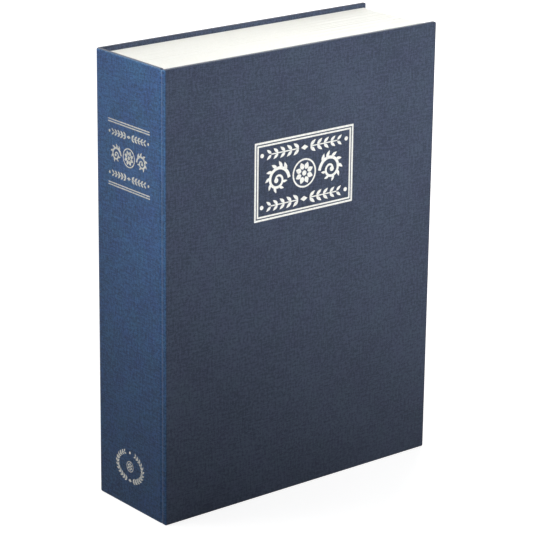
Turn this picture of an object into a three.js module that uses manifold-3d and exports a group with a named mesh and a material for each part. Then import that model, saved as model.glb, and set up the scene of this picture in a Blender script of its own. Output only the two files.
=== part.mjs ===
// A book diversion safe: a hardback case round a dummy page block, with a steel box inside.
// The steel lid swings on a piano hinge and carries a combination lock with three number wheels.
// Millimetres. +Z runs up the spine, +X from spine to fore-edge, and the front cover faces -Y.
// The book stands on its tail, with the origin under the middle of its box.
import * as THREE from 'three';
import { mergeVertices } from 'three/addons/utils/BufferGeometryUtils.js';
import Module from 'manifold-3d';

// Book
const bookHeight = 265;
const bookWidth = 196;
const bookThickness = 65;
const boardThickness = 2.2;
const clothThickness = 0.3;
const paperThickness = 0.2;
const glueFilm = 0.05;
const clothTurnIn = 15; // cloth folded over the inside of a board
const endpaperMargin = 4; // cloth left showing round the endpaper
const clothEdgeRadius = 0.9;
const spineCornerRadius = 3; // where the cloth rounds from spine to back
const jointWidth = 1.6; // groove between spine and front board that the cover folds along
const jointStripWidth = 1;
const foldOffset = 0.15; // the fold line lies just outside the cloth

// Page block, a moulding with walls and a face, hollow from the back
const headSquare = 2.4; // how far the boards stand past the pages at head and tail
const foreSquare = 2.5;
const rimHead = 10;
const rimFore = 12;
const rimSpine = 9;
const blockWall = 2;
const blockRibPitch = 48;
const blockFit = 0.2; // page block to boards
const coverClearance = 0.35; // closed endpaper to page block

// Steel box and lid
const boxSteel = 0.8;
const lidSteel = 0.8;
const boxFit = 0.4; // steel box to page block
const boxCornerRadius = 4;
const boxBendRadius = 2;
const lidGap = 0.4; // lid to box walls
const lidFoldDepth = 4.8;
const lidBendRadius = 1.4;
const restGap = 0.3; // lid to the lanced rests under it
const restLength = 10;
const restReach = 3.5;
const restInset = 26; // rest to the free corner of the box

// Piano hinge
const leafSteel = 0.8;
const leafWidth = 11;
const hingeInset = 8.5; // end of the hinge to end of the lid
const knuckleCount = 11;
const knuckleGap = 0.4;
const pinRadius = 0.8;
const pinPlay = 0.1;
const hingeRivets = 4;
const rivetEdge = 3.2; // rivet to the edge of its leaf

// Rivets and screws
const rivetRadius = 1;
const rivetHeadRadius = 1.9;
const rivetHeadHeight = 0.8;
const rivetTail = 0.6; // formed end of the lid's rivets
const screwRadius = 1;
const screwPoint = 0.4;
const screwHeadRadius = 2;
const screwHeadHeight = 1.1;
const screwSlot = 0.6;
const holePlay = 0.1;

// Combination lock
const wheelCount = 3;
const wheelRadius = 7.5;
const rimWidth = 4.6; // the numbered rim of a wheel
const gateWidth = 1.8; // the cam beside it, with a flat for the fence tooth
const wheelGap = 0.6;
const digitCount = 10;
const wheelNotch = 0.6;
const rimChamfer = 0.3;
const wheelProud = 1.2; // wheel above bezel
const windowGap = 0.25; // wheel to the edge of its window
const windowCorner = 0.8;
const axleRadius = 1.2;
const sleeveRadius = 2.6;
const sleeveKey = 0.6;
const camRadius = 4.2;
const camFlat = 3.4; // axis to the flat
const turnPlay = 0.1; // round the axle and the sleeve
const runGap = 0.3; // sliding and passing pieces
const toothWidth = 1.2;
const gatePass = 0.2; // fence tooth past the cam at either end of the bolt's travel
const bezelProud = 2;
const bezelChamfer = 0.6;
const bezelLip = 6.5; // bezel past the lock body at both ends, where its screws are
const bezelSideLip = 2.5;
const bezelCorner = 3;
const bodyWall = 2;
const bodyEnd = 3.5;
const bodyFoot = 0.8; // bolt to the foot of the body
const sideRoom = 1.5; // wheel to body wall
const ceiling = 1.4; // bezel thickness over the wheels
const cheek = 2; // wall between wheels and slide
const slideBay = 12;
const trackFloor = 1; // under the pad's recess
const stemLength = 6;
const stemWidth = 5;
const padLength = 9;
const padWidth = 9.4;
const padCorner = 1.2;
const padChamfer = 0.3;
const padRecess = 0.8;
const padProud = 1.2;
const padGrooves = 4;
const grooveDepth = 0.5;
const boltThickness = 1.5;
const noseWidth = 16;
const noseLead = 0.9; // chamfer on the tip
const slideScrewLength = 5.4;
const slideScrewRecess = 0.9;
const backPlate = 1;
const guideWidth = 2; // ribs on the back plate that the bolt slides over
const guideInset = 3;
const backScrewLength = 6.5;
const screwSkin = 0.6; // metal left over a blind hole
const lockInset = 20; // lock centre to the free edge of the lid
const lockHeadroom = 0.4; // highest part of the lock to the closed page block plane
const seatGap = 0.2; // die castings to what they sit on
const springSteel = 0.3;
const springRise = 1.4; // axle to the upper root of a detent bump
const springTip = 0.3;
const fingerSlit = 0.5; // cut from each finger at a gap between two of them

// Strike, a steel angle riveted inside the box wall
const strikeSteel = 1;
const strikeReach = 6;
const strikeDrop = 14;
const strikeWidth = 24;
const strikeBend = 0.3; // inside, coined sharp to leave the bolt's tip its room
const strikeGap = 0.4; // over the bolt
const strikeMargin = 0.9; // open bolt to strike

// Levels that follow from the sizes above
const spineX = -bookWidth / 2;
const foreX = bookWidth / 2;
const frontY = -bookThickness / 2;
const backY = bookThickness / 2;
const bookX = [spineX, foreX];
const bookZ = [0, bookHeight];
const middleZ = bookHeight / 2;
const skin = clothThickness + glueFilm;
const panel = boardThickness + 2 * skin;
const frontInner = frontY + panel;
const backInner = backY - panel;
const spineInner = spineX + panel;
const spineFront = frontInner + jointWidth;
const coverHinge = [spineX - foldOffset, frontInner + jointWidth / 2];
const endpaperFace = frontInner + glueFilm + paperThickness;
const blockX = [spineInner + blockFit, foreX - foreSquare];
const blockY = [endpaperFace + coverClearance, backInner - blockFit];
const blockZ = grow(bookZ, -headSquare);
const wellX = [blockX[0] + rimSpine, blockX[1] - rimFore];
const wellZ = grow(blockZ, -rimHead);
const boxX = grow(wellX, -boxFit);
const boxZ = grow(wellZ, -boxFit);
const insideX = grow(boxX, -boxSteel);
const insideZ = grow(boxZ, -boxSteel);
const lidFace = blockY[0] + bezelProud + wheelProud + lockHeadroom;
const boxY = [lidFace, blockY[1]];

const rivetHole = rivetRadius + holePlay;
const screwHole = screwRadius + holePlay;
const knuckleRadius = lidSteel + glueFilm + leafSteel;
const knuckleClear = knuckleRadius + knuckleGap;
const lidHinge = [insideX[0] + glueFilm + knuckleRadius, lidFace];
const lidX = [lidHinge[0] + knuckleClear, insideX[1] - lidGap];
const lidZ = grow(insideZ, -lidGap);
const hingeZ = grow(lidZ, -hingeInset);
const lidRivetX = lidHinge[0] + leafWidth - rivetEdge;
const boxRivetY = lidHinge[1] + leafWidth - rivetEdge;

// Lock levels in its own frame: x as the book's, y up the book, z out of the lid's face
const wheelPitch = rimWidth + gateWidth + wheelGap;
const axisZ = bezelProud + wheelProud - wheelRadius;
const toothTip = camFlat + runGap;
const gateHalf = Math.sqrt(camRadius ** 2 - toothTip ** 2);
const boltTravel = 2 * (gateHalf + toothWidth / 2 + gatePass);
const slideX = -boltTravel / 2;
const bayHalf = wheelRadius + sideRoom;
const bodyHalfX = bayHalf + bodyWall;
const wheelBay = wheelCount * wheelPitch - wheelGap + 2 * runGap;
const bodyHalfY = (wheelBay + cheek + slideBay) / 2 + bodyEnd;
const wheelBayY = [bodyEnd - bodyHalfY, bodyEnd - bodyHalfY + wheelBay];
const slideBayY = [wheelBayY[1] + cheek, wheelBayY[1] + cheek + slideBay];
const slideY = slideBayY[0] + slideBay / 2;
const boltTop = axisZ - wheelRadius - 3 * runGap;
const boltBottom = boltTop - boltThickness;
const bodyBottom = boltBottom - bodyFoot;
const backPlateTop = bodyBottom - seatGap;
const lockScrewY = bodyHalfY + bezelLip / 2;
const backScrewY = bodyHalfY - bodyEnd / 2;
const lockX = lidX[1] - lockInset;
const strikeX = insideX[1] - glueFilm;
const strikeTop = lidFace - boltTop - strikeGap - strikeSteel;
const strikeRivetY = strikeTop + 0.6 * strikeDrop;
const bothSides = [-1, 1];
const wheels = Array.from({ length: wheelCount }, (_, i) => i);

function grow([low, high], by) {
  return [low - by, high + by];
}

function around(middle, half) {
  return [middle - half, middle + half];
}

// Solids

const wasm = await Module();
wasm.setup();

function solidOf(geometry) {
  const bare = geometry.clone();
  bare.deleteAttribute('normal');
  bare.deleteAttribute('uv');
  const merged = mergeVertices(bare);
  return new wasm.Manifold(new wasm.Mesh({
    numProp: 3,
    vertProperties: new Float32Array(merged.attributes.position.array),
    triVerts: new Uint32Array(merged.index.array),
  }));
}

function geometryOf(solid) {
  const mesh = solid.getMesh();
  const geometry = new THREE.BufferGeometry();
  geometry.setAttribute('position', new THREE.BufferAttribute(mesh.vertProperties, 3));
  geometry.setIndex(new THREE.BufferAttribute(mesh.triVerts, 1));
  geometry.computeVertexNormals();
  return geometry;
}

function union(solids) {
  return solids.reduce((joined, solid) => joined.add(solid));
}

function block(x, y, z) {
  const size = [x, y, z].map(([low, high]) => high - low);
  const middle = [x, y, z].map(([low, high]) => (low + high) / 2);
  return solidOf(new THREE.BoxGeometry(...size).translate(...middle));
}

function cylinder(radius, axis, [low, high], sides = 12) {
  const geometry = new THREE.CylinderGeometry(radius, radius, high - low, sides);
  geometry.translate(0, (low + high) / 2, 0);
  if (axis === 'x') geometry.rotateZ(-Math.PI / 2);
  if (axis === 'z') geometry.rotateX(Math.PI / 2);
  return solidOf(geometry);
}

// One drill at several places
function drilled(radius, axis, span, places) {
  return union(places.map((place) => cylinder(radius, axis, span).translate(place)));
}

// An outline drawn in (y, z), (x, z) or (x, y) and drawn out along the axis that is left
const drawnAlong = {
  x: new THREE.Matrix4().set(0, 0, 1, 0, 1, 0, 0, 0, 0, 1, 0, 0, 0, 0, 0, 1),
  y: new THREE.Matrix4().set(1, 0, 0, 0, 0, 0, -1, 0, 0, 1, 0, 0, 0, 0, 0, 1),
  z: new THREE.Matrix4(),
};

// Both ends are bevelled, and the bevel grows the outline by its own width
function prism(shape, axis, [low, high], bevel = {}) {
  const { width = 0, steps = 1, curveSegments = 4 } = bevel;
  const geometry = new THREE.ExtrudeGeometry(shape, {
    depth: high - low - 2 * width,
    bevelEnabled: width > 0,
    bevelSize: width,
    bevelThickness: width,
    bevelSegments: steps,
    curveSegments,
  });
  geometry.translate(0, 0, width + (axis === 'y' ? -high : low));
  return solidOf(geometry.applyMatrix4(drawnAlong[axis]));
}

// A rectangle with each corner's own radius, from the low corner anticlockwise
function roundedRect([x0, x1], [y0, y1], radii) {
  const [r0, r1, r2, r3] = Array.isArray(radii) ? radii : [radii, radii, radii, radii];
  const shape = new THREE.Shape();
  const corner = (x, y, radius, from) => {
    if (radius > 0) shape.absarc(x, y, radius, from, from + Math.PI / 2);
    else shape.lineTo(x, y);
  };
  shape.moveTo(x0 + r0, y0);
  corner(x1 - r1, y0 + r1, r1, -Math.PI / 2);
  corner(x1 - r2, y1 - r2, r2, 0);
  corner(x0 + r3, y1 - r3, r3, Math.PI / 2);
  if (r0 > 0) shape.absarc(x0 + r0, y0 + r0, r0, Math.PI, 1.5 * Math.PI);
  return shape;
}

// Scene

const book = new THREE.Group();
const cover = hingedGroup(coverHinge);
const lid = hingedGroup(lidHinge);
const lock = new THREE.Group();
lock.position.set(lockX - lidHinge[0], 0, middleZ);
lock.rotation.x = Math.PI / 2;
lid.add(lock);

function hingedGroup([x, y]) {
  const group = new THREE.Group();
  group.position.set(x, y, 0);
  book.add(group);
  return group;
}

function finish(color, roughness, metalness = 0) {
  return new THREE.MeshStandardMaterial({ color, roughness, metalness });
}

const bookCloth = finish(0x434e63, 0.85);
const greyBoard = finish(0x9a958a, 0.9);
const endpaper = finish(0xe9e6dc, 0.8);
const whitePlastic = finish(0xf4f3ea, 0.6);
const blackEnamel = finish(0x1b1c1e, 0.45, 0.3);
const zincPlate = finish(0xb9bcc0, 0.35, 1);
const chromePlate = finish(0xd5d7da, 0.15, 1);
const wheelPlastic = finish(0x17181a, 0.4);
const springTemper = finish(0x8f8a80, 0.3, 1);

// Adds a piece drawn in the book's frame to a group whose origin is its hinge line
function addPiece(group, name, solid, material) {
  const mesh = addLocal(group, name, geometryOf(solid), material);
  mesh.position.copy(group.position).negate();
}

// Adds a piece drawn in the group's own frame
function addLocal(group, name, geometry, material) {
  const mesh = new THREE.Mesh(geometry, material);
  mesh.name = name;
  group.add(mesh);
  return mesh;
}

// Case

// The outside of a cloth-covered board, with its long edges rounded
function clothPanel(x, y, z, thinAxis) {
  const flat = prism(roundedRect(x, y, clothEdgeRadius), 'z', z);
  if (thinAxis === 'y') return flat.intersect(prism(roundedRect(y, z, clothEdgeRadius), 'x', x));
  return flat.intersect(prism(roundedRect(x, z, clothEdgeRadius), 'y', y));
}

function buildFrontCover() {
  const y = [frontY, frontInner];
  const board = [bookX, y, bookZ].map((span) => grow(span, -skin));
  const pocket = board.map((span) => grow(span, glueFilm));
  const bareX = [spineX + clothThickness, foreX - clothTurnIn];
  const bareY = [frontInner - panel / 2, frontInner + 1];
  const cloth = clothPanel(bookX, y, bookZ, 'y')
    .subtract(block(...pocket))
    .subtract(block(bareX, bareY, grow(bookZ, -clothTurnIn)));
  const paperY = [endpaperFace - paperThickness, endpaperFace];
  const paper = block(grow(bookX, -endpaperMargin), paperY, grow(bookZ, -endpaperMargin));
  addPiece(cover, 'front_board', block(...board), greyBoard);
  addPiece(cover, 'front_cloth', cloth, bookCloth);
  addPiece(cover, 'front_endpaper', paper, endpaper);
}

// The outline of spine and back together, set in by a skin, with its rounded spine corner
function caseOutline(inset, z) {
  const x = [spineX + inset, foreX];
  const y = [spineFront, backY - inset];
  return prism(roundedRect(x, y, [0, 0, 0, spineCornerRadius - inset]), 'z', z);
}

function buildSpineAndBack() {
  const boardZ = grow(bookZ, -skin);
  const backX = grow(bookX, -skin);
  const boardY = [backInner + skin, backY - skin];
  const boardX = [spineX + skin, spineInner - skin];
  const spineY = [spineFront + skin, backInner - glueFilm];
  const backBoard = block(backX, boardY, boardZ).intersect(caseOutline(skin, boardZ));
  const spineBoard = block(boardX, spineY, boardZ).intersect(caseOutline(skin, boardZ));
  const pocketZ = grow(boardZ, glueFilm);
  const pockets = block(grow(backX, glueFilm), grow(boardY, glueFilm), pocketZ)
    .add(block(grow(boardX, glueFilm), [spineFront + clothThickness, boardY[1]], pocketZ))
    .intersect(caseOutline(clothThickness, pocketZ));
  const bareZ = grow(bookZ, -clothTurnIn);
  const bareSpineX = [spineInner - panel / 2, spineInner + 1];
  const bareBackX = [spineInner, foreX - clothTurnIn];
  const cloth = clothPanel(bookX, [backInner, backY], bookZ, 'y')
    .add(clothPanel([spineX, spineInner], [spineFront, backY], bookZ, 'x'))
    .intersect(caseOutline(0, bookZ))
    .subtract(pockets)
    .subtract(block(bareSpineX, [spineFront + clothThickness, backInner], bareZ))
    .subtract(block(bareBackX, [backInner - 1, backInner + panel / 2], bareZ));
  addPiece(book, 'spine_board', spineBoard, greyBoard);
  addPiece(book, 'back_board', backBoard, greyBoard);
  addPiece(book, 'case_cloth', cloth, bookCloth);
}

// The strip of cloth that the cover folds along
function buildJoint() {
  const x = [spineX, spineX + clothThickness];
  const y = around(coverHinge[1], jointStripWidth / 2);
  addPiece(book, 'joint_cloth', block(x, y, grow(bookZ, -clothThickness)), bookCloth);
}

// Page block

function buildPageBlock() {
  const hollowY = [blockY[0] + blockWall, blockY[1] + 1];
  const corner = boxCornerRadius + boxFit;
  const well = prism(roundedRect(wellX, wellZ, corner), 'y', grow(blockY, 1));
  const island = roundedRect(grow(wellX, blockWall), grow(wellZ, blockWall), corner + blockWall);
  const channel = block(grow(blockX, -blockWall), hollowY, grow(blockZ, -blockWall))
    .subtract(prism(island, 'y', grow(hollowY, 1)));
  const ring = block(blockX, blockY, blockZ).subtract(well).subtract(channel);
  addPiece(book, 'page_block', ring.add(blockRibs(channel)), whitePlastic);
}

// Ribs across the channel, a little short of the open back
function blockRibs(channel) {
  const y = [blockY[0] + blockWall / 2, blockY[1] - blockWall];
  const ribs = [
    ...ribPlaces(blockX).map((x) => block(around(x, blockWall / 2), y, blockZ)),
    ...ribPlaces(blockZ).map((z) => block(blockX, y, around(z, blockWall / 2))),
  ];
  const overlap = 0.1;
  const sideways = [[0, 0], [1, 0], [-1, 0], [0, 1], [0, -1]];
  const grown = sideways.map(([x, z]) => channel.translate([x * overlap, -overlap, z * overlap]));
  return union(ribs).intersect(union(grown));
}

function ribPlaces([low, high]) {
  const each = Math.floor((high - low) / blockRibPitch / 2);
  return Array.from({ length: 2 * each + 1 }, (_, i) => (low + high) / 2 + (i - each) * blockRibPitch);
}

// Steel box

// A pressed blank, from its mouth to the floor that bends into its walls
function blank(x, z, y, corner, bend, opensBack = false) {
  const shape = roundedRect(grow(x, -bend), grow(z, -bend), corner - bend);
  const past = 3 * bend;
  const long = opensBack ? [y[0], y[1] + past] : [y[0] - past, y[1]];
  return prism(shape, 'y', long, { width: bend, steps: 3 }).intersect(block(grow(x, 1), y, grow(z, 1)));
}

function buildSafeBox() {
  const innerY = [boxY[0] - 1, boxY[1] - boxSteel];
  const outer = blank(boxX, boxZ, boxY, boxCornerRadius, boxBendRadius);
  const inner = blank(insideX, insideZ, innerY, boxCornerRadius - boxSteel, boxBendRadius - boxSteel);
  const hingeHoles = hingeRivetZ().map((z) => [boxX[0], boxRivetY, z]);
  const strikeHoles = strikeRivetZ().map((z) => [boxX[1], strikeRivetY, z]);
  const shell = outer.subtract(inner)
    .subtract(drilled(rivetHole, 'x', around(0, 2 * boxSteel), [...hingeHoles, ...strikeHoles]));
  addPiece(book, 'safe_box', bothSides.reduce(lanceRest, shell), blackEnamel);
}

// A tab cut free on three sides of the head or tail wall and bent in under the lid
function lanceRest(box, side) {
  const wall = side > 0 ? insideZ[1] : insideZ[0];
  const x = [boxX[1] - restInset - restLength, boxX[1] - restInset];
  const top = lidFace + lidFoldDepth + restGap;
  const tabZ = [wall - side * restReach, wall + side * boxSteel].sort((a, b) => a - b);
  const window = block(
    grow(x, boxSteel / 2),
    [top + boxSteel / 2, top + restReach + boxSteel],
    around(wall, 2 * boxSteel),
  );
  return box.subtract(window).add(block(x, [top, top + boxSteel], tabZ));
}

// Lid

function buildLid() {
  const y = [lidFace, lidFace + lidFoldDepth];
  const wide = [lidX[0] - 4 * lidBendRadius, lidX[1]];
  const corner = boxCornerRadius - boxSteel - lidGap;
  const innerX = grow(wide, -lidSteel);
  const innerZ = grow(lidZ, -lidSteel);
  const innerY = [y[0] + lidSteel, y[1] + 1];
  const outer = blank(wide, lidZ, y, corner, lidBendRadius, true);
  const inner = blank(innerX, innerZ, innerY, corner - lidSteel, lidBendRadius - lidSteel, true);
  const kept = block([lidX[0], lidX[1] + 1], grow(y, 1), grow(lidZ, 1));
  const through = around(0, 2 * lidSteel);
  const cutout = block(
    around(lockX, bodyHalfX + runGap),
    around(lidFace, 2 * lidSteel),
    around(middleZ, bodyHalfY + runGap),
  );
  const rivetPlaces = hingeRivetZ().map((z) => [lidRivetX, lidFace, z]);
  const screwPlaces = bothSides.map((side) => [lockX, lidFace, middleZ + side * lockScrewY]);
  const pan = outer.subtract(inner).intersect(kept).subtract(cutout)
    .subtract(drilled(rivetHole, 'y', through, rivetPlaces))
    .subtract(drilled(screwHole, 'y', through, screwPlaces));
  addPiece(lid, 'safe_lid', pan, blackEnamel);
}

// Piano hinge

function hingeRivetZ() {
  const pitch = (hingeZ[1] - hingeZ[0]) / hingeRivets;
  return Array.from({ length: hingeRivets }, (_, i) => hingeZ[0] + (i + 0.5) * pitch);
}

// One leaf: the plain strip is cut back beside the other leaf's knuckles
function hingeLeaf(strip, notch, first) {
  const axis = [...lidHinge, 0];
  const pitch = (hingeZ[1] - hingeZ[0]) / knuckleCount;
  let leaf = block(...strip, hingeZ);
  for (let i = 0; i < knuckleCount; i += 1) {
    const z = [hingeZ[0] + i * pitch, hingeZ[0] + (i + 1) * pitch];
    const knuckle = cylinder(knuckleRadius, 'z', grow(z, -knuckleGap / 2), 16).translate(axis);
    const own = i % 2 === first;
    leaf = own ? leaf.add(knuckle) : leaf.subtract(block(...notch, grow(z, knuckleGap / 2)));
  }
  return leaf.subtract(cylinder(pinRadius + pinPlay, 'z', grow(hingeZ, 1)).translate(axis));
}

function buildHinge() {
  const [x, y] = lidHinge;
  const boxStrip = [[x - knuckleRadius, x - knuckleRadius + leafSteel], [y, y + leafWidth]];
  const boxNotch = [[x - knuckleRadius - 1, x], [y - 1, y + knuckleClear]];
  const lidStrip = [[x, x + leafWidth], [y + knuckleRadius - leafSteel, y + knuckleRadius]];
  const lidNotch = [[x - 1, x + knuckleClear], [y, y + knuckleRadius + 1]];
  const through = around(0, 2 * knuckleRadius);
  const boxPlaces = hingeRivetZ().map((z) => [x - knuckleRadius, boxRivetY, z]);
  const lidPlaces = hingeRivetZ().map((z) => [lidRivetX, y + knuckleRadius, z]);
  const pin = cylinder(pinRadius, 'z', hingeZ).translate([x, y, 0]);
  const boxLeaf = hingeLeaf(boxStrip, boxNotch, 0).subtract(drilled(rivetHole, 'x', through, boxPlaces));
  const lidLeaf = hingeLeaf(lidStrip, lidNotch, 1).subtract(drilled(rivetHole, 'y', through, lidPlaces));
  addPiece(book, 'box_hinge_leaf', boxLeaf, zincPlate);
  addPiece(lid, 'lid_hinge_leaf', lidLeaf, zincPlate);
  addPiece(book, 'hinge_pin', pin, zincPlate);
}

// Rivets and screws, turned about their own +Z with the head on top of z = 0

function turned(points) {
  const profile = points.map(([radius, z]) => new THREE.Vector2(radius, z));
  return new THREE.LatheGeometry(profile, 12).rotateX(Math.PI / 2);
}

function rivet(grip, tail) {
  const shank = rivetRadius;
  const wide = 1.5 * shank;
  const end = tail > 0
    ? [[0, -grip - tail], [wide, -grip - tail], [wide, -grip], [shank, -grip]]
    : [[0, -grip], [shank, -grip]];
  const shoulder = [0.8 * rivetHeadRadius, 0.6 * rivetHeadHeight];
  return turned([...end, [shank, 0], [rivetHeadRadius, 0], shoulder, [0, rivetHeadHeight]]);
}

function screw(length, headRadius, headHeight) {
  const body = solidOf(turned([
    [0, -length], [0.7 * screwRadius, -length], [screwRadius, screwPoint - length], [screwRadius, 0],
    [headRadius, 0], [headRadius, 0.6 * headHeight], [0.8 * headRadius, headHeight], [0, headHeight],
  ]));
  const slotZ = [0.55 * headHeight, headHeight + 1];
  return geometryOf(body.subtract(block(around(0, headRadius), around(0, screwSlot / 2), slotZ)));
}

function buildHingeRivets() {
  const [x] = lidHinge;
  const lidGrip = lidSteel + leafSteel + 3 * glueFilm;
  const boxGrip = boxSteel + leafSteel + glueFilm;
  hingeRivetZ().forEach((z, i) => {
    const outside = addLocal(lid, `lid_hinge_rivet_${i + 1}`, rivet(lidGrip, rivetTail), zincPlate);
    outside.position.set(lidRivetX - x, -glueFilm, z);
    outside.rotation.x = Math.PI / 2;
    const inside = addLocal(book, `box_hinge_rivet_${i + 1}`, rivet(boxGrip, 0), zincPlate);
    inside.position.set(x - knuckleRadius + leafSteel + glueFilm, boxRivetY, z);
    inside.rotation.y = Math.PI / 2;
  });
}

// Strike

function strikeRivetZ() {
  return around(middleZ, strikeWidth / 3);
}

function buildStrike() {
  const bend = strikeBend + strikeSteel;
  const face = strikeX - strikeSteel;
  const foot = strikeTop + strikeDrop;
  const shape = new THREE.Shape();
  shape.moveTo(strikeX - strikeReach, strikeTop);
  shape.lineTo(strikeX - bend, strikeTop);
  shape.absarc(strikeX - bend, strikeTop + bend, bend, -Math.PI / 2, 0);
  shape.lineTo(strikeX, foot);
  shape.lineTo(face, foot);
  shape.absarc(strikeX - bend, strikeTop + bend, strikeBend, 0, -Math.PI / 2, true);
  shape.lineTo(strikeX - strikeReach, strikeTop + strikeSteel);
  const places = strikeRivetZ().map((z) => [strikeX, strikeRivetY, z]);
  const bracket = prism(shape, 'z', around(middleZ, strikeWidth / 2))
    .subtract(drilled(rivetHole, 'x', around(0, 2 * strikeSteel), places));
  addPiece(book, 'strike_bracket', bracket, zincPlate);
  const grip = strikeSteel + boxSteel + glueFilm;
  strikeRivetZ().forEach((z, i) => {
    const mesh = addLocal(book, `strike_rivet_${i + 1}`, rivet(grip, 0), zincPlate);
    mesh.position.set(face - glueFilm, strikeRivetY, z);
    mesh.rotation.y = -Math.PI / 2;
  });
}

// Lock, in its own frame

function wheelY(i) {
  return wheelBayY[0] + runGap + rimWidth / 2 + i * wheelPitch;
}

function buildHousing() {
  const bezelX = around(0, bodyHalfX + bezelSideLip);
  const bezelY = around(0, bodyHalfY + bezelLip);
  const drawn = [grow(bezelX, -bezelChamfer), grow(bezelY, -bezelChamfer), bezelCorner - bezelChamfer];
  const bezel = prism(roundedRect(...drawn), 'z', [-2 * bezelChamfer, bezelProud], { width: bezelChamfer })
    .intersect(block(bezelX, bezelY, [seatGap, bezelProud]));
  const body = block(around(0, bodyHalfX), around(0, bodyHalfY), [bodyBottom, 2 * seatGap]);
  const bay = around(0, bayHalf);
  const boltRoof = boltTop + runGap;
  const windowRoof = bezelProud - ceiling;
  const cuts = [
    block(bay, wheelBayY, [bodyBottom - 1, windowRoof]),
    block(bay, slideBayY, [bodyBottom - 1, bezelProud - padRecess - trackFloor]),
    block(bay, [wheelBayY[0], slideBayY[1]], [bodyBottom - 1, boltRoof]),
    block([0, bodyHalfX + 1], around(0, noseWidth / 2 + runGap), [bodyBottom - 1, boltRoof]),
    cylinder(axleRadius + turnPlay, 'y', [-bodyHalfY - 1, slideBayY[0] + 1]).translate([0, 0, axisZ]),
    drilled(screwHole, 'z', [bodyBottom - 1, bodyBottom + backScrewLength],
      bothSides.map((side) => [0, side * backScrewY, 0])),
    drilled(screwHole, 'z', [-1, bezelProud - screwSkin], bothSides.map((side) => [0, side * lockScrewY, 0])),
    ...wheels.map((i) => wheelWindow(i, windowRoof)),
    ...slideTrack(),
  ];
  const overlap = 0.1;
  const ledgeX = [-bayHalf - overlap, -bayHalf + 2 * springSteel + glueFilm];
  const springLedge = block(ledgeX, grow(wheelBayY, overlap), [boltRoof, boltRoof + runGap]);
  const housing = bezel.add(body).subtract(union(cuts)).add(springLedge);
  addLocal(lock, 'lock_housing', geometryOf(housing), chromePlate);
}

function wheelWindow(i, level) {
  const chordHalf = Math.sqrt(wheelRadius ** 2 - (level - axisZ) ** 2);
  const y = around(wheelY(i), rimWidth / 2 + windowGap);
  const outline = roundedRect(around(0, chordHalf + runGap), y, windowCorner);
  return prism(outline, 'z', [level - 1, bezelProud + 1]);
}

function slideTrack() {
  const slot = block(
    around(0, (stemLength + boltTravel) / 2 + runGap),
    around(slideY, stemWidth / 2 + runGap),
    [-1, bezelProud + 1],
  );
  const recess = roundedRect(
    around(0, (padLength + boltTravel) / 2 + runGap),
    around(slideY, padWidth / 2 + runGap),
    padCorner,
  );
  return [slot, prism(recess, 'z', [bezelProud - padRecess, bezelProud + 1])];
}

// A numbered rim: a face for each digit and a finger notch between digits
function rimShape(radius) {
  const points = [];
  const step = (2 * Math.PI) / digitCount;
  const marks = [[-0.3, radius], [0, radius], [0.3, radius], [0.5, radius - wheelNotch]];
  for (let digit = 0; digit < digitCount; digit += 1) {
    const middle = -Math.PI / 2 + digit * step;
    for (const [share, reach] of marks) {
      const angle = middle + share * step;
      points.push(new THREE.Vector2(reach * Math.cos(angle), reach * Math.sin(angle)));
    }
  }
  return new THREE.Shape(points);
}

// A circle with a square key standing out of it towards +x
function keyedCircle(radius, play) {
  const half = sleeveKey / 2 + play;
  const start = Math.asin(half / radius);
  const tip = radius + sleeveKey;
  const shape = new THREE.Shape();
  shape.moveTo(tip, -half);
  shape.lineTo(tip, half);
  shape.absarc(0, 0, radius, start, 2 * Math.PI - start, false);
  return shape;
}

// A cam with one flat. With its wheel set, the flat faces the bolt's tooth.
function camShape() {
  const shape = new THREE.Shape();
  const start = Math.acos(camFlat / camRadius);
  shape.absarc(0, 0, camRadius, Math.PI / 2 + start, 2.5 * Math.PI - start, false);
  return shape;
}

function buildWheels() {
  const half = rimWidth / 2;
  const round = { curveSegments: 14 };
  const upright = [-90, 0, 0];
  const keyway = prism(keyedCircle(sleeveRadius + turnPlay, turnPlay), 'z', around(0, half + 1), round);
  const rim = prism(rimShape(wheelRadius - rimChamfer), 'z', around(0, half), { width: rimChamfer })
    .subtract(keyway).rotate(upright);
  const sleeve = prism(keyedCircle(sleeveRadius, 0), 'z', [-half, half + gateWidth / 2], round);
  const cam = prism(camShape(), 'z', [half + turnPlay, half + gateWidth], round);
  const bore = cylinder(axleRadius + turnPlay, 'z', around(0, half + gateWidth + 1));
  const gate = sleeve.add(cam).subtract(bore).rotate(upright);
  for (const i of wheels) {
    const spindle = new THREE.Group();
    spindle.position.set(0, wheelY(i), axisZ);
    lock.add(spindle);
    addLocal(spindle, `number_wheel_${i + 1}`, geometryOf(rim), wheelPlastic);
    addLocal(spindle, `gate_sleeve_${i + 1}`, geometryOf(gate), zincPlate);
  }
  const axleY = [-bodyHalfY + seatGap, slideBayY[0] - seatGap];
  const axle = cylinder(axleRadius, 'y', axleY).translate([0, 0, axisZ]);
  addLocal(lock, 'wheel_axle', geometryOf(axle), zincPlate);
}

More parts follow.
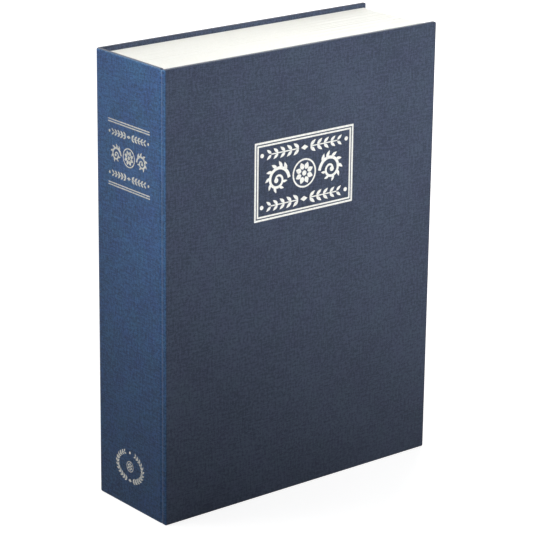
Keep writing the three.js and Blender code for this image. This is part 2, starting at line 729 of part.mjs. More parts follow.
// A strip that stands against the body wall, with a bumped finger that clicks each wheel
function buildDetentSpring() {
  const wall = -bayHalf + glueFilm;
  const face = wall + springSteel;
  const foot = boltTop + 3 * runGap;
  const bump = -wheelRadius - runGap;
  const root = axisZ - 2 * springRise;
  const shape = new THREE.Shape();
  shape.moveTo(wall, foot);
  shape.lineTo(face, foot);
  shape.lineTo(face, root);
  shape.lineTo(bump, axisZ - springTip);
  shape.lineTo(bump, axisZ + springTip);
  shape.lineTo(face, axisZ + springRise);
  shape.lineTo(wall, axisZ + springRise);
  shape.lineTo(bump - springSteel, axisZ);
  shape.lineTo(wall, root);
  const half = rimWidth / 2;
  const strip = prism(shape, 'y', [wheelY(0) - half, wheelY(wheelCount - 1) + half]);
  const slits = wheels.slice(1).map((i) => block(
    [wall - 1, bump + 1],
    grow([wheelY(i - 1) + half, wheelY(i) - half], fingerSlit),
    [foot + 2 * springRise, axisZ + 2 * springRise],
  ));
  addLocal(lock, 'detent_spring', geometryOf(strip.subtract(union(slits))), springTemper);
}

// The bolt runs under the wheels. Its teeth pass the flats only when all the wheels are set.
function buildBolt() {
  const plateX = [-bayHalf + runGap, bayHalf - runGap - boltTravel];
  const plateY = grow([wheelBayY[0], slideBayY[1]], -runGap);
  const tip = strikeX - strikeReach - strikeMargin - lockX;
  const root = plateX[1] - 2;
  const nose = new THREE.Shape();
  nose.moveTo(root, boltBottom);
  nose.lineTo(tip, boltBottom);
  nose.lineTo(tip, boltTop - noseLead);
  nose.lineTo(tip - noseLead, boltTop);
  nose.lineTo(root, boltTop);
  const teeth = wheels.map((i) => block(
    around(slideX, toothWidth / 2),
    around(wheelY(i) + (rimWidth + gateWidth + turnPlay) / 2, toothWidth / 2),
    [boltTop - 0.1, axisZ - toothTip],
  ));
  const place = [slideX, slideY, 0];
  const recess = [boltBottom - 1, boltBottom + slideScrewRecess];
  const bolt = block(plateX, plateY, [boltBottom, boltTop])
    .add(prism(nose, 'y', around(0, noseWidth / 2)))
    .add(union(teeth))
    .subtract(cylinder(screwHole, 'z', [boltBottom - 1, boltTop + 1]).translate(place))
    .subtract(cylinder(screwHeadRadius + holePlay, 'z', recess).translate(place));
  addLocal(lock, 'latch_bolt', geometryOf(bolt), zincPlate);
}

function buildThumbSlide() {
  const padBottom = bezelProud - padRecess + seatGap;
  const padTop = bezelProud + padProud;
  const x = around(slideX, padLength / 2);
  const y = around(slideY, padWidth / 2);
  const drawn = roundedRect(grow(x, -padChamfer), grow(y, -padChamfer), padCorner - padChamfer);
  const pad = prism(drawn, 'z', [padBottom, padTop], { width: padChamfer });
  const stemZ = [boltTop + glueFilm, padBottom + 2 * padChamfer];
  const stem = block(around(slideX, stemLength / 2), around(slideY, stemWidth / 2), stemZ);
  const pitch = padLength / (padGrooves + 1);
  const grooves = Array.from({ length: padGrooves }, (_, i) => block(
    around(x[0] + (i + 1) * pitch, pitch / 4),
    grow(y, -1),
    [padTop - grooveDepth, padTop + 1],
  ));
  const hole = cylinder(screwHole, 'z', [boltTop - 1, boltTop + slideScrewLength - screwPoint])
    .translate([slideX, slideY, 0]);
  const slide = pad.add(stem).subtract(union(grooves)).subtract(hole);
  addLocal(lock, 'thumb_slide', geometryOf(slide), chromePlate);
  const shape = screw(slideScrewLength, screwHeadRadius, slideScrewRecess - seatGap);
  const joiner = addLocal(lock, 'slide_screw', shape, zincPlate);
  joiner.position.set(slideX, slideY, boltBottom + slideScrewRecess - glueFilm);
  joiner.rotation.x = Math.PI;
}

function buildBackPlate() {
  const plateZ = [backPlateTop - backPlate, backPlateTop];
  const guideY = [wheelBayY[0] + guideInset, slideBayY[1] - guideInset];
  const guides = guideY.map((y) => block(
    around(0, bayHalf - runGap),
    around(y, guideWidth / 2),
    [backPlateTop - 0.1, boltBottom - runGap],
  ));
  const places = bothSides.map((side) => [0, side * backScrewY, 0]);
  const outline = roundedRect(around(0, bodyHalfX), around(0, bodyHalfY), bezelCorner / 2);
  const plate = prism(outline, 'z', plateZ).add(union(guides))
    .subtract(drilled(screwHole, 'z', grow(plateZ, 1), places));
  addLocal(lock, 'lock_backplate', geometryOf(plate), zincPlate);
  const shape = screw(backScrewLength, 0.85 * screwHeadRadius, screwHeadHeight);
  bothSides.forEach((side, i) => {
    const mesh = addLocal(lock, `backplate_screw_${i + 1}`, shape, zincPlate);
    mesh.position.set(0, side * backScrewY, plateZ[0] - glueFilm);
    mesh.rotation.x = Math.PI;
  });
}

function buildLockScrews() {
  const length = lidSteel + bezelProud - screwSkin - seatGap;
  const shape = screw(length, screwHeadRadius, screwHeadHeight);
  bothSides.forEach((side, i) => {
    const mesh = addLocal(lock, `lock_screw_${i + 1}`, shape, zincPlate);
    mesh.position.set(0, side * lockScrewY, -lidSteel - glueFilm);
    mesh.rotation.x = Math.PI;
  });
}

buildFrontCover();
buildSpineAndBack();
buildJoint();
buildPageBlock();
buildSafeBox();
buildLid();
buildHinge();
buildHingeRivets();
buildStrike();
buildHousing();
buildWheels();
buildDetentSpring();
buildBolt();
buildThumbSlide();
buildBackPlate();
buildLockScrews();

export default book;
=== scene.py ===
from functools import partial
from math import atan2, cos, pi, radians, sin, tan

import bmesh
import bpy
from mathutils import Matrix, Vector


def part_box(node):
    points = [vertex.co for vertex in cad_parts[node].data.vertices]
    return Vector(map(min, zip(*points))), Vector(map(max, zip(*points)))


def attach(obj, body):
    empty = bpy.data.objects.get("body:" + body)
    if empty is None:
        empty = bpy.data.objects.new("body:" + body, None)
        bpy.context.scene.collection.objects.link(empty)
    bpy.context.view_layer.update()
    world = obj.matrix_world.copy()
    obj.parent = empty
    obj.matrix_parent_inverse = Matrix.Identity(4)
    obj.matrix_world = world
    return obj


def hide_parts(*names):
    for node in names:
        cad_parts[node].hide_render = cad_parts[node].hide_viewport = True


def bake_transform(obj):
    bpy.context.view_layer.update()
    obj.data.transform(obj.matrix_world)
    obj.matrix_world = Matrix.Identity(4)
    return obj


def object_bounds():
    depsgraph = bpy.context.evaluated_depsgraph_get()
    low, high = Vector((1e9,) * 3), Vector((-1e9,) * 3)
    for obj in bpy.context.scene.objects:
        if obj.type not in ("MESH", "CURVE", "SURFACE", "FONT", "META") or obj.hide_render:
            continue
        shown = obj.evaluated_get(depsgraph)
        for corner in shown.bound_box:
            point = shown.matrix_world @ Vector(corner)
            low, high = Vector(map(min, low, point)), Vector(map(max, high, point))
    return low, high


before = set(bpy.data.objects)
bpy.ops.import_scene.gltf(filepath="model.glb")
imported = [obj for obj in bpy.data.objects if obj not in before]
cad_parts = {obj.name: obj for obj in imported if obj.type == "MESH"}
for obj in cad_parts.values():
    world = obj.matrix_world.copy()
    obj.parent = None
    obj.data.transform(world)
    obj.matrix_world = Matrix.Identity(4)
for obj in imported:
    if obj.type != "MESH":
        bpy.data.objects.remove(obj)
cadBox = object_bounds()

# A hardback book that hides a steel box, standing closed. Lengths are millimetres: newPiece makes
# them metres. +X runs from spine to fore-edge, the front cover faces -Y, and +Z is up.
print("frame loaded:", len(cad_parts), "solids")


def cad(node):
    low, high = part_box(node)
    return low * 1000, high * 1000


def middleOf(node):
    return [(low + high) / 2 for low, high in zip(*cad(node))]


def pick(facts, keys):
    return [facts[key] for key in keys.split()]


def link(name, data):
    piece = bpy.data.objects.new(name, data)
    bpy.context.scene.collection.objects.link(piece)
    return piece


# Camera

view = {"azimuth": -38.99, "elevation": 18.42, "roll": 0.64,  # degrees
        "spot": (-0.3, -5.6, 1482.8),  # aside, up and away from the book's middle
        "lens": 172.2}


def placeCamera(facts):
    azimuth, elevation, roll = map(radians, pick(facts, "azimuth elevation roll"))
    data = bpy.data.cameras.new("camera")
    data.lens, data.sensor_width = facts["lens"], 36
    data.clip_start, data.clip_end = 0.05, 60
    camera = link("camera", data)
    turn = Matrix.Rotation(azimuth, 4, "Z") @ Matrix.Rotation(pi / 2 - elevation, 4, "X")
    spot = (cadBox[0] + cadBox[1]) / 2 + turn @ Vector(facts["spot"]) / 1000
    camera.matrix_world = Matrix.Translation(spot) @ turn @ Matrix.Rotation(roll, 4, "Z")
    bpy.context.scene.camera = camera


placeCamera(view)


# Nodes and materials

def linear(code):
    parts = [int(code[i:i + 2], 16) / 255 for i in (1, 3, 5)]
    return tuple(c / 12.92 if c <= 0.04045 else ((c + 0.055) / 1.055) ** 2.4 for c in parts) + (1.0,)


# A node with its settings and its inputs: a value, a socket, or a node whose first output in use is meant.
# A kind without Node in its name is a shader node.
def addNode(tree, kind, inputs=None, **settings):
    node = tree.nodes.new(kind if "Node" in kind else "ShaderNode" + kind)
    for name, value in settings.items():
        setattr(node, name, value)
    for key, value in (inputs or {}).items():
        if isinstance(value, bpy.types.Node):
            value = next(output for output in value.outputs if output.enabled)
        if isinstance(value, bpy.types.NodeSocket):
            tree.links.new(value, node.inputs[key])
        else:
            node.inputs[key].default_value = value
    return node


def newMaterial(name):
    material = bpy.data.materials.new(name)
    material.use_nodes = True
    material.node_tree.nodes.clear()
    return material, partial(addNode, material.node_tree)


# Starch-filled linen book cloth on board: matt and dusty, navy, every thread its own shade. The boards'
# shades are greyed by painted glare and the spine's are bluer by painted light, on one and the same cloth.
bookClothFacts = {
    "shades": {  # each on the spine, and on the boards; the pairs differ by painted light, with grey glare on the boards
        "dark": ("#193455", "#3d4558"), "light": ("#305685", "#515c72"),
        "edge": ("#688fb4", "#222731"),  # on the spine rubbed pale with a painted highlight, on the boards a painted shade
    },
    "spineEnds": (-0.0978, -0.0970),  # m, where the shades, and with them the painted glare, pass into each other round the spine's edges
    "edgeShare": 0.6,
    "edgeTurn": 0.29,  # 1 less the cosine of the turn at which an edge is fully marked, 45 degrees
    "hue": 0.008,  # the dye drifts between violet and green
    "thread": 0.62,  # mm, real cloth has 0.4, drawn coarser so that it shows
    "slub": 8.0,  # mm, length over which a thread keeps its shade
    "wander": 1.2,  # mm, how far a thread strays from straight
    "shares": (0.15, 1.1, 0.3),  # of the thread's crown, the blotches and the clouds in its shade
    "shadeRange": (1.1, 1.42),
    "weave": {"Strength": 0.7, "Distance": 0.00006}, "boardWave": {"Strength": 0.35, "Distance": 0.0006},  # m
    "noises": {  # scale per metre, detail, roughness
        "wander": (90.0, 1.0, 0.5), "blotch": (1000 / 1.5, 3.0, 0.6), "cloud": (24.0, 2.0, 0.5),
        "dye": (75.0, 2.0, 0.5), "board": (30.0, 1.0, 0.5),
    },
    "shader": {"Roughness": 0.55, "IOR": 1.5, "Specular IOR Level": 0.05, "Sheen Weight": 0.24,
               "Sheen Roughness": 0.5},
}


def makeBookCloth(name, facts):
    material, add = newMaterial(name)
    perThread, perSlub, stray = 1000 / facts["thread"], 1000 / facts["slub"], facts["wander"] / 1000
    sheet = add("UVMap", uv_map="cloth")
    noise = {key: add("TexNoise", {"Vector": sheet, "Scale": scale, "Detail": detail, "Roughness": rough})
             for key, (scale, detail, rough) in facts["noises"].items()}
    # warp lies on top where the two waves have one sign, and a thread is highest between its crossings
    cloth = add("VectorMath", {0: noise["wander"].outputs["Color"], 1: (stray, stray, 0), 2: sheet},
                operation="MULTIPLY_ADD")
    counted = add("VectorMath", {0: cloth, 1: (pi * perThread,) * 3}, operation="MULTIPLY")
    waves = add("VectorMath", {0: counted}, operation="SINE")
    parts = add("SeparateXYZ", {0: waves}).outputs
    crossing = add("Math", {0: parts[0], 1: parts[1]}, operation="MULTIPLY")
    warpOnTop = add("Math", {0: crossing, 1: 0.0}, operation="GREATER_THAN")
    crown = add("Math", {0: crossing}, operation="ABSOLUTE")
    yarns = []
    for scale in ((perSlub, perThread, 1), (perThread, perSlub, 1)):
        place = add("VectorMath", {0: cloth, 1: scale}, operation="MULTIPLY")
        yarns.append(add("TexNoise", {"Vector": place, "Scale": 0.9, "Detail": 1.0}))
    shade = add("Mix", {0: warpOnTop, 2: yarns[0], 3: yarns[1]})
    for source, share in zip((crown, noise["blotch"], noise["cloud"]), facts["shares"]):
        shade = add("Math", {0: source, 1: share, 2: shade}, operation="MULTIPLY_ADD")
    low, high = facts["shadeRange"]
    factor = add("MapRange", {0: shade, 1: low, 2: high})
    spot = add("SeparateXYZ", {0: add("TexCoord").outputs["Object"]})
    start, end = facts["spineEnds"]
    # 0 on the spine, 1 on the boards, whose shades carry painted glare
    paintedGlareOnBoards = add("MapRange", {0: spot, 1: start, 2: end})
    dark, light, edge = (add("Mix", {0: paintedGlareOnBoards, 6: linear(spine), 7: linear(board)}, data_type="RGBA")
                         for spine, board in facts["shades"].values())
    colour = add("Mix", {0: factor, 6: dark, 7: light}, data_type="RGBA")
    reach = facts["hue"]
    hue = add("MapRange", {0: noise["dye"], 1: 0.3, 2: 0.7, 3: 0.5 - reach, 4: 0.5 + reach})
    dyed = add("HueSaturation", {"Hue": hue, "Color": colour})
    # Rounded edges: rubbed pale with a painted highlight on the spine, a painted shade on the boards
    share = facts["edgeShare"]
    patchy = add("MapRange", {0: noise["blotch"], 1: 0.4, 2: 0.6, 3: 0.3 * share, 4: share})
    marked = add("Attribute", attribute_name="edge").outputs["Fac"]
    wearAndShade = add("Math", {0: patchy, 1: marked}, operation="MULTIPLY")
    wornAndShaded = add("Mix", {0: wearAndShade, 6: dyed, 7: edge}, data_type="RGBA")
    height = add("Math", {0: noise["blotch"], 1: 0.8, 2: crown}, operation="MULTIPLY_ADD")
    weave = add("Bump", {"Height": height, **facts["weave"]})
    board = add("Bump", {"Height": noise["board"], "Normal": weave, **facts["boardWave"]})
    shader = add("BsdfPrincipled", {**facts["shader"], "Base Color": wornAndShaded, "Normal": board})
    add("OutputMaterial", {"Surface": shader})
    return material


# Other finishes vary between two shades on a fine grain and a broad drift; roughness follows them.
# Grain and relief are in mm.
finishFacts = {"grain": {"Detail": 4.0, "Roughness": 0.6}, "drift": {"Scale": 18.0, "Detail": 2.0}, "grainShare": 0.65,
               "shadeRange": (0.32, 0.68), "roughRange": (0.3, 0.7), "reliefStrength": 0.6}


def makeFinish(name, roughness, shades, grain, uneven, relief=0.0, stretch=(1, 1, 1), **sockets):
    material, add = newMaterial(name)
    spot = add("TexCoord").outputs["Object"]
    stretched = add("Mapping", {"Vector": spot, "Scale": stretch})
    fine = add("TexNoise", {"Vector": stretched, "Scale": 1000 / grain, **finishFacts["grain"]})
    broad = add("TexNoise", {"Vector": spot, **finishFacts["drift"]})
    both = add("Mix", {0: 1 - finishFacts["grainShare"], 2: fine, 3: broad})
    (low, high), (smooth, coarse) = pick(finishFacts, "shadeRange roughRange")
    factor = add("MapRange", {0: both, 1: low, 2: high})
    dark, light = (linear(code) for code in shades)
    colour = add("Mix", {0: factor, 6: dark, 7: light}, data_type="RGBA")
    rough = add("MapRange", {0: both, 1: smooth, 2: coarse, 3: roughness - uneven, 4: roughness + uneven})
    surface = {**sockets, "Base Color": colour, "Roughness": rough}
    if relief:
        surface["Normal"] = add("Bump", {"Height": fine, "Strength": finishFacts["reliefStrength"],
                                         "Distance": relief / 1000})
    add("OutputMaterial", {"Surface": add("BsdfPrincipled", surface)})
    return material


bookCloth = makeBookCloth("linenBookCloth", bookClothFacts)
# Hot-stamped silver foil: a bright metal skin, broken by the grain of the cloth under it (about 1 mm)
coverFoil = makeFinish("stampedSilverFoil", 0.38, ("#d9d9d5", "#fffffa"), 1.0, 0.1, 0.06, Metallic=1.0)
# The same foil on the spine, in duller, darker shades
spineFoil = makeFinish("dullSilverFoil", 0.45, ("#6a6f76", "#cfcec4"), 1.1, 0.1, 0.06, Metallic=1.0)
# Injection-moulded ABS in paper white: satin, with faint flow clouds
pagePlastic = makeFinish("mouldedAbs", 0.5, ("#f2f2ea", "#f9f9f4"), 1.2, 0.06, 0.01, IOR=1.53)
# Uncoated pastedown paper: matt, with short fibres about a millimetre long
pastePaper = makeFinish("uncoatedPaper", 0.85, ("#ebe7db", "#f6f3e9"), 1.0, 0.05, 0.02, IOR=1.45)
# Grey binder's board: pressed waste paper, flecked
binderBoard = makeFinish("binderBoard", 0.9, ("#7d776b", "#a9a396"), 0.9, 0.05, 0.03, IOR=1.45)
# Fine-textured black powder coat baked on sheet steel: half matt, orange-peel skin at twice its real scale
powderCoat = makeFinish("blackPowderCoat", 0.42, ("#101113", "#2c2e31"), 0.9, 0.1, 0.16, IOR=1.5)
# Bright zinc plating on rolled steel: pale bluish metal with cloudy spangle
zincPlate = makeFinish("brightZincPlate", 0.3, ("#8a8f94", "#b9bec3"), 2.0, 0.1, 0.01, (1, 1, 0.3), Metallic=1.0)
# Satin chrome over a zinc die casting: cool, brushed along its length
satinChrome = makeFinish("satinChrome", 0.26, ("#8f9398", "#c4c8cc"), 0.5, 0.08, 0.006, (1, 1, 0.06), Metallic=1.0)
# Black acetal: dense and slightly waxy
acetal = makeFinish("blackAcetal", 0.33, ("#0e0f10", "#191a1c"), 0.4, 0.05, 0.004, IOR=1.48)
# White paint wiped into engraved digits
digitPaint = makeFinish("engravingPaint", 0.6, ("#e3e3de", "#f5f5f1"), 0.5, 0.05, IOR=1.5)
# Spring strip tempered to a straw brown
springSteel = makeFinish("temperedSpringSteel", 0.28, ("#6d6257", "#8d8377"), 0.6, 0.06, Metallic=1.0)
print("materials made")


# Outlines: (x, y, radius) corners, anticlockwise

def rect(x, y, radius):
    return [(x[0], y[0], radius), (x[1], y[0], radius), (x[1], y[1], radius), (x[0], y[1], radius)]


def rectAround(x, y, halfX, halfY, radius=0):
    return rect((x - halfX, x + halfX), (y - halfY, y + halfY), radius)


# The front of a box from low to high
def frontOf(low, high, radius):
    return rect((low.x, high.x), (low.z, high.z), radius)


def polar(radius, angle, middle):
    return middle[0] + radius * cos(angle), middle[1] + radius * sin(angle)


def circle(radius, sides, middle=(0, 0)):
    return [polar(radius, 2 * pi * k / sides, middle) for k in range(sides)]


# Points round an outline. An inset moves each side inwards, and a guard point stands beside each bend.
def rounded(corners, inset, steps, guard):
    points = []
    for i, (x, y, radius) in enumerate(corners):
        here, before = Vector((x, y)), Vector(corners[i - 1][:2])
        after = Vector(corners[(i + 1) % len(corners)][:2])
        arriving, leaving = (here - before).normalized(), (after - here).normalized()
        leftIn, leftOut = Vector((-arriving.y, arriving.x)), Vector((-leaving.y, leaving.x))
        corner = here + (leftIn + leftOut) * (inset / (1 + leftIn.dot(leftOut)))
        if radius == 0:
            points.append(corner)
            continue
        turn = atan2(arriving.x * leaving.y - arriving.y * leaving.x, arriving.dot(leaving))
        side = 1 if turn > 0 else -1
        bend = max(radius - side * inset, 0.02)
        reach = bend * tan(abs(turn) / 2)
        start = corner - arriving * reach
        centre = start + leftIn * side * bend
        if guard:
            points.append(start - arriving * guard)
        for k in range(steps + 1):
            points.append(centre + Matrix.Rotation(turn * k / steps, 2) @ (start - centre))
        if guard:
            points.append(corner + leaving * (reach + guard))
    return points


# Stacks: (level, inset) pairs from one end of a wall to the other

def quarter(steps):
    return [(1 - cos(pi / 2 * k / steps), 1 - sin(pi / 2 * k / steps)) for k in range(steps + 1)]


# From a cap round its edge to the wall, with a guard loop on either side
def rim(end, way, edge, steps, guard=0.3):
    bend = [(end + way * edge * rise, edge * inset) for rise, inset in quarter(steps)]
    return [(end, edge + guard)] + bend + [(end + way * (edge + guard), 0.0)]


# From one cap to the other
def slab(low, high, lowEdge, highEdge=0.0, steps=4, guard=0.3):
    stack = []
    for end, way, edge in ((low, 1, lowEdge), (high, -1, highEdge)):
        part = rim(end, way, edge, steps, guard) if edge else [(end, 0.0)]
        stack += part[::way]
    return stack


# Over a pressed pan: outer floor, outer wall, mouth, inner wall, inner floor
def panStack(mouth, floor, bend, sheet):
    way = 1 if mouth > floor else -1
    lip = [(mouth - way * sheet / 2 * (1 - sin(a)), sheet / 2 * (1 - cos(a)))
           for a in (pi * k / 6 for k in range(7))]
    inner = [(level, inset + sheet) for level, inset in rim(floor + way * sheet, way, bend - sheet, 5)]
    return rim(floor, way, bend, 5) + lip + inner[::-1]


# Shapes

def raised(points, level):
    return [(*point, level) for point in points]


def ringsOf(axis, corners, stack, steps=6, guard=0.3):
    place = {"x": lambda u, v, w: (w, u, v), "y": lambda u, v, w: (u, w, v), "z": lambda u, v, w: (u, v, w)}[axis]
    return [[place(*point, level) for point in rounded(corners, inset, steps, guard)] for level, inset in stack]


# A wall through rings of points, where a pole is a ring of one. Its ends get caps, meet in a loop, or stay open.
def addWall(shape, rings, ends="caps"):
    rings = [[shape.verts.new(point) for point in ring] for ring in rings]
    for a, b in zip(rings, rings[1:] + (rings[:1] if ends == "loop" else [])):
        sides = max(len(a), len(b))
        for i in range(sides):
            j = (i + 1) % sides
            corners = (a[i % len(a)], a[j % len(a)], b[j % len(b)], b[i % len(b)])
            shape.faces.new(list(dict.fromkeys(corners)))
    if ends == "caps":
        for ring in (rings[0], rings[-1]):
            if len(ring) > 1:
                shape.faces.new(ring)
    return rings


def addStack(shape, axis, corners, stack, steps=6, guard=0.3):
    addWall(shape, ringsOf(axis, corners, stack, steps, guard))


# The flat between an outline and the holes in it
def fillBetween(shape, loops):
    edges = [shape.edges.get((loop[i - 1], loop[i])) for loop in loops for i in range(len(loop))]
    bmesh.ops.triangle_fill(shape, use_beauty=True, edges=edges)


# A plate with holes: each hole is (corners, floor, lip), and goes right through where floor is None
def addPlate(shape, axis, corners, stack, holes):
    low, high = stack[0][0], stack[-1][0]
    way = 1 if high > low else -1
    rings = addWall(shape, ringsOf(axis, corners, stack), "open")
    lowLoops, highLoops = [rings[0]], [rings[-1]]
    for holeCorners, floor, lip in holes:
        inwards = [(level, -inset) for level, inset in rim(high, -way, lip, 3, 0.1)]
        inwards.append((low if floor is None else floor, 0.0))
        walls = addWall(shape, ringsOf(axis, holeCorners, inwards, guard=0), "open")
        highLoops.append(walls[0])
        if floor is None:
            lowLoops.append(walls[-1])
        else:
            shape.faces.new(walls[-1])
    fillBetween(shape, lowLoops)
    fillBetween(shape, highLoops)


# A profile of (radius, height) points turned about +Z
def turnedShape(profile, sides, ends="caps"):
    shape = bmesh.new()
    addWall(shape, [raised(circle(radius, sides if radius else 1), height) for radius, height in profile], ends)
    return shape


def finishedMesh(piece):
    return bpy.data.meshes.new_from_object(piece.evaluated_get(bpy.context.evaluated_depsgraph_get()))


def carve(shape, cutter):
    parts = []
    for part in (shape, cutter):
        bmesh.ops.recalc_face_normals(part, faces=part.faces)
        mesh = bpy.data.meshes.new("cut")
        part.to_mesh(mesh)
        part.free()
        parts.append(link("cut", mesh))
    modifier = parts[0].modifiers.new("cut", "BOOLEAN")
    modifier.object, modifier.solver = parts[1], "EXACT"
    result = bmesh.new()
    result.from_mesh(finishedMesh(parts[0]))
    for part in parts:
        bpy.data.objects.remove(part)
    return result


# The pattern of cloth is laid in metres over each face's own plane. The edges of spine and boards are marked, for the
# rubbed pale and painted highlight on the spine's edges and the painted shade on the boards' edges.
def unwrapCloth(mesh):
    edges = mesh.attributes.new("edge", "FLOAT", "POINT")
    for mark, vertex in zip(edges.data, mesh.vertices):
        mark.value = min(1.0, (1 - max(abs(vertex.normal.y), -vertex.normal.x)) / bookClothFacts["edgeTurn"])
    layer = mesh.uv_layers.new(name="cloth")
    for face in mesh.polygons:
        flat = max(range(3), key=lambda k: abs(face.normal[k]))
        u, v = {0: (1, 2), 1: (0, 2), 2: (0, 1)}[flat]
        for corner in face.loop_indices:
            spot = mesh.vertices[mesh.loops[corner].vertex_index].co
            layer.data[corner].uv = (spot[u], spot[v])


def meshOf(shape, name, angle=38):
    bmesh.ops.recalc_face_normals(shape, faces=shape.faces)
    mesh = bpy.data.meshes.new(name)
    shape.to_mesh(mesh)
    shape.free()
    mesh.shade_smooth()
    mesh.set_sharp_from_angle(angle=radians(angle))
    return mesh


def newPiece(name, mesh, material, body, slot=None, *stands, weigh=False):
    if isinstance(mesh, bmesh.types.BMesh):
        mesh = meshOf(mesh, name)
    mesh.name = name
    mesh.transform(Matrix.Scale(0.001, 4))
    mesh.materials.clear()
    mesh.materials.append(material)
    piece = link(name, mesh)
    if weigh:
        piece.modifiers.new("weigh", "WEIGHTED_NORMAL").keep_sharp = True
        piece.data = finishedMesh(piece)
        piece.modifiers.clear()
    if material == bookCloth:
        unwrapCloth(piece.data)
    if body:
        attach(piece, body)
    if stands:
        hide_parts(*stands)
    return piece


# Geometry Nodes: each tree sets a part on points, as real geometry with a material

def newTree(name, sockets):
    tree = bpy.data.node_groups.new(name, "GeometryNodeTree")
    tree.interface.new_socket("Geometry", in_out="OUTPUT", socket_type="NodeSocketGeometry")
    for socket, kind in {**sockets, "Part": "Object", "Material": "Material"}.items():
        tree.interface.new_socket(socket, in_out="INPUT", socket_type="NodeSocket" + kind)
    add = partial(addNode, tree)
    return tree, add, add("NodeGroupInput").outputs


def endTree(tree, add, given, points, **inputs):
    part = add("GeometryNodeObjectInfo", {"Object": given["Part"]}).outputs["Geometry"]
    placed = add("GeometryNodeInstanceOnPoints", {"Points": points, "Instance": part, **inputs})
    real = add("GeometryNodeRealizeInstances", {0: placed})
    add("NodeGroupOutput", {0: add("GeometryNodeSetMaterial", {"Geometry": real, "Material": given["Material"]})})
    return tree


# At every point, turned one way, each with its own spin about its axis
def makeRowTree():
    tree, add, given = newTree("rowOfParts", {"Geometry": "Geometry", "Turn": "Rotation", "Spin": "Float",
                                              "Seed": "Int"})
    low = add("Math", {0: given["Spin"], 1: -1.0}, operation="MULTIPLY")
    spin = add("FunctionNodeRandomValue", {2: low, 3: given["Spin"], "Seed": given["Seed"]})
    local = add("FunctionNodeEulerToRotation", {0: add("CombineXYZ", {2: spin})})
    both = add("FunctionNodeRotateRotation", {0: given["Turn"], 1: local}, rotation_space="LOCAL")
    return endTree(tree, add, given, given["Geometry"], Rotation=both)


# Along a flat path, smaller towards its end
def makeTrailTree():
    tree, add, given = newTree("partsAlongPath", {"Path": "Object", "Spacing": "Float", "Last size": "Float"})
    path = add("GeometryNodeObjectInfo", {"Object": given["Path"]}).outputs["Geometry"]
    points = add("GeometryNodeResampleCurve", {"Curve": path, "Length": given["Spacing"]}, mode="LENGTH")
    facing = add("FunctionNodeAlignRotationToVector", {"Vector": add("GeometryNodeInputTangent")},
                 axis="X", pivot_axis="Z")
    share = add("GeometryNodeSplineParameter").outputs["Factor"]
    size = add("MapRange", {0: share, 3: 1.0, 4: given["Last size"]})
    return endTree(tree, add, given, points, Rotation=facing, Scale=size)


# Stacked in a line, each a hair astray and smaller
def makeStackTree():
    tree, add, given = newTree("stackOfLeaves", {"Count": "Int", "Start": "Vector", "Step": "Vector",
                                                 "Stray": "Vector", "Smallest": "Vector", "Seed": "Int"})
    line = add("GeometryNodeMeshLine", {"Count": given["Count"], "Start Location": given["Start"],
                                        "Offset": given["Step"]})
    stray, size = (add("FunctionNodeRandomValue", {0: low, 1: high, "Seed": given["Seed"]}, data_type="FLOAT_VECTOR")
                   for low, high in (((0.0,) * 3, given["Stray"]), (given["Smallest"], (1.0,) * 3)))
    strayed = add("GeometryNodeSetPosition", {"Geometry": line, "Offset": stray})
    return endTree(tree, add, given, strayed, Scale=size)


rowTree, trailTree, stackTree = makeRowTree(), makeTrailTree(), makeStackTree()


def grown(tree, part, material, values, base=None):
    pattern = link("part", meshOf(part, "part"))
    carrier = link("carrier", base or bpy.data.meshes.new("carrier"))
    modifier = carrier.modifiers.new("grown", "NODES")
    modifier.node_group = tree
    values = {**values, "Part": pattern, "Material": material}
    for item in tree.interface.items_tree:
        if item.in_out == "INPUT" and item.name in values:
            modifier[item.identifier] = values[item.name]
    mesh = finishedMesh(carrier)
    for used in (carrier, pattern):
        bpy.data.objects.remove(used)
    return mesh


def rowOf(part, places, turn, spin, seed):
    points = bpy.data.meshes.new("places")
    points.from_pydata([tuple(p) for p in places], [], [])
    return grown(rowTree, part, zincPlate, {"Turn": turn, "Spin": spin, "Seed": seed}, points)


# Hardback case

frontLow, frontHigh = cad("front_cloth")
caseLow, caseHigh = cad("case_cloth")
panel = frontHigh.y - frontLow.y
caseFacts = {"corner": 1.0, "edge": 0.9, "spineEdge": 3.0, "jointEdge": 0.45, "rim": 0.5, "inside": 0.4}
flapFacts = {"near": 1.1, "turnIn": 15.0, "mitreGap": 0.3, "sunk": 0.2, "proud": 0.08, "corner": 0.25, "edge": 0.06}
pasteFacts = {"margin": 4.0, "corner": 0.3, "edge": 0.04, "step": 0.16, "shoulder": 0.4, "slope": 1.0, "flat": 2.0}
jointFacts = {"set": 0.06, "dip": 0.22, "sheet": 0.25, "short": 0.5, "columns": 12, "rows": 60, "blend": 0.1}


# The turned-in cloth is three flaps with a mitred fold at each corner
def buildFrontCover(facts, fold):
    shape = bmesh.new()
    addStack(shape, "y", frontOf(frontLow, frontHigh, facts["corner"]),
             slab(frontLow.y, frontHigh.y, facts["edge"], facts["jointEdge"], 5))
    near, far, gap = pick(fold, "near turnIn mitreGap")
    left, right = (frontLow.x + near, frontLow.x + far), (frontHigh.x - near, frontHigh.x - far)
    foot, head = (frontLow.z + near, frontLow.z + far), (frontHigh.z - near, frontHigh.z - far)
    stack = slab(frontHigh.y - fold["sunk"], frontHigh.y + fold["proud"], 0, fold["edge"], 2, 0.1)
    for flap in (
        ((left[0] + gap, foot[0]), (right[0] - gap, foot[0]), (right[1] - gap, foot[1]), (left[1] + gap, foot[1])),
        ((left[1] + gap, head[1]), (right[1] - gap, head[1]), (right[0] - gap, head[0]), (left[0] + gap, head[0])),
        ((right[1], foot[1] + gap), (right[0], foot[0] + gap), (right[0], head[0] - gap), (right[1], head[1] - gap)),
    ):
        addStack(shape, "y", [(*point, fold["corner"]) for point in flap], stack, 3, 0)
    newPiece("cover_cloth", shape, bookCloth, "cover", "book_cloth", "front_cloth")


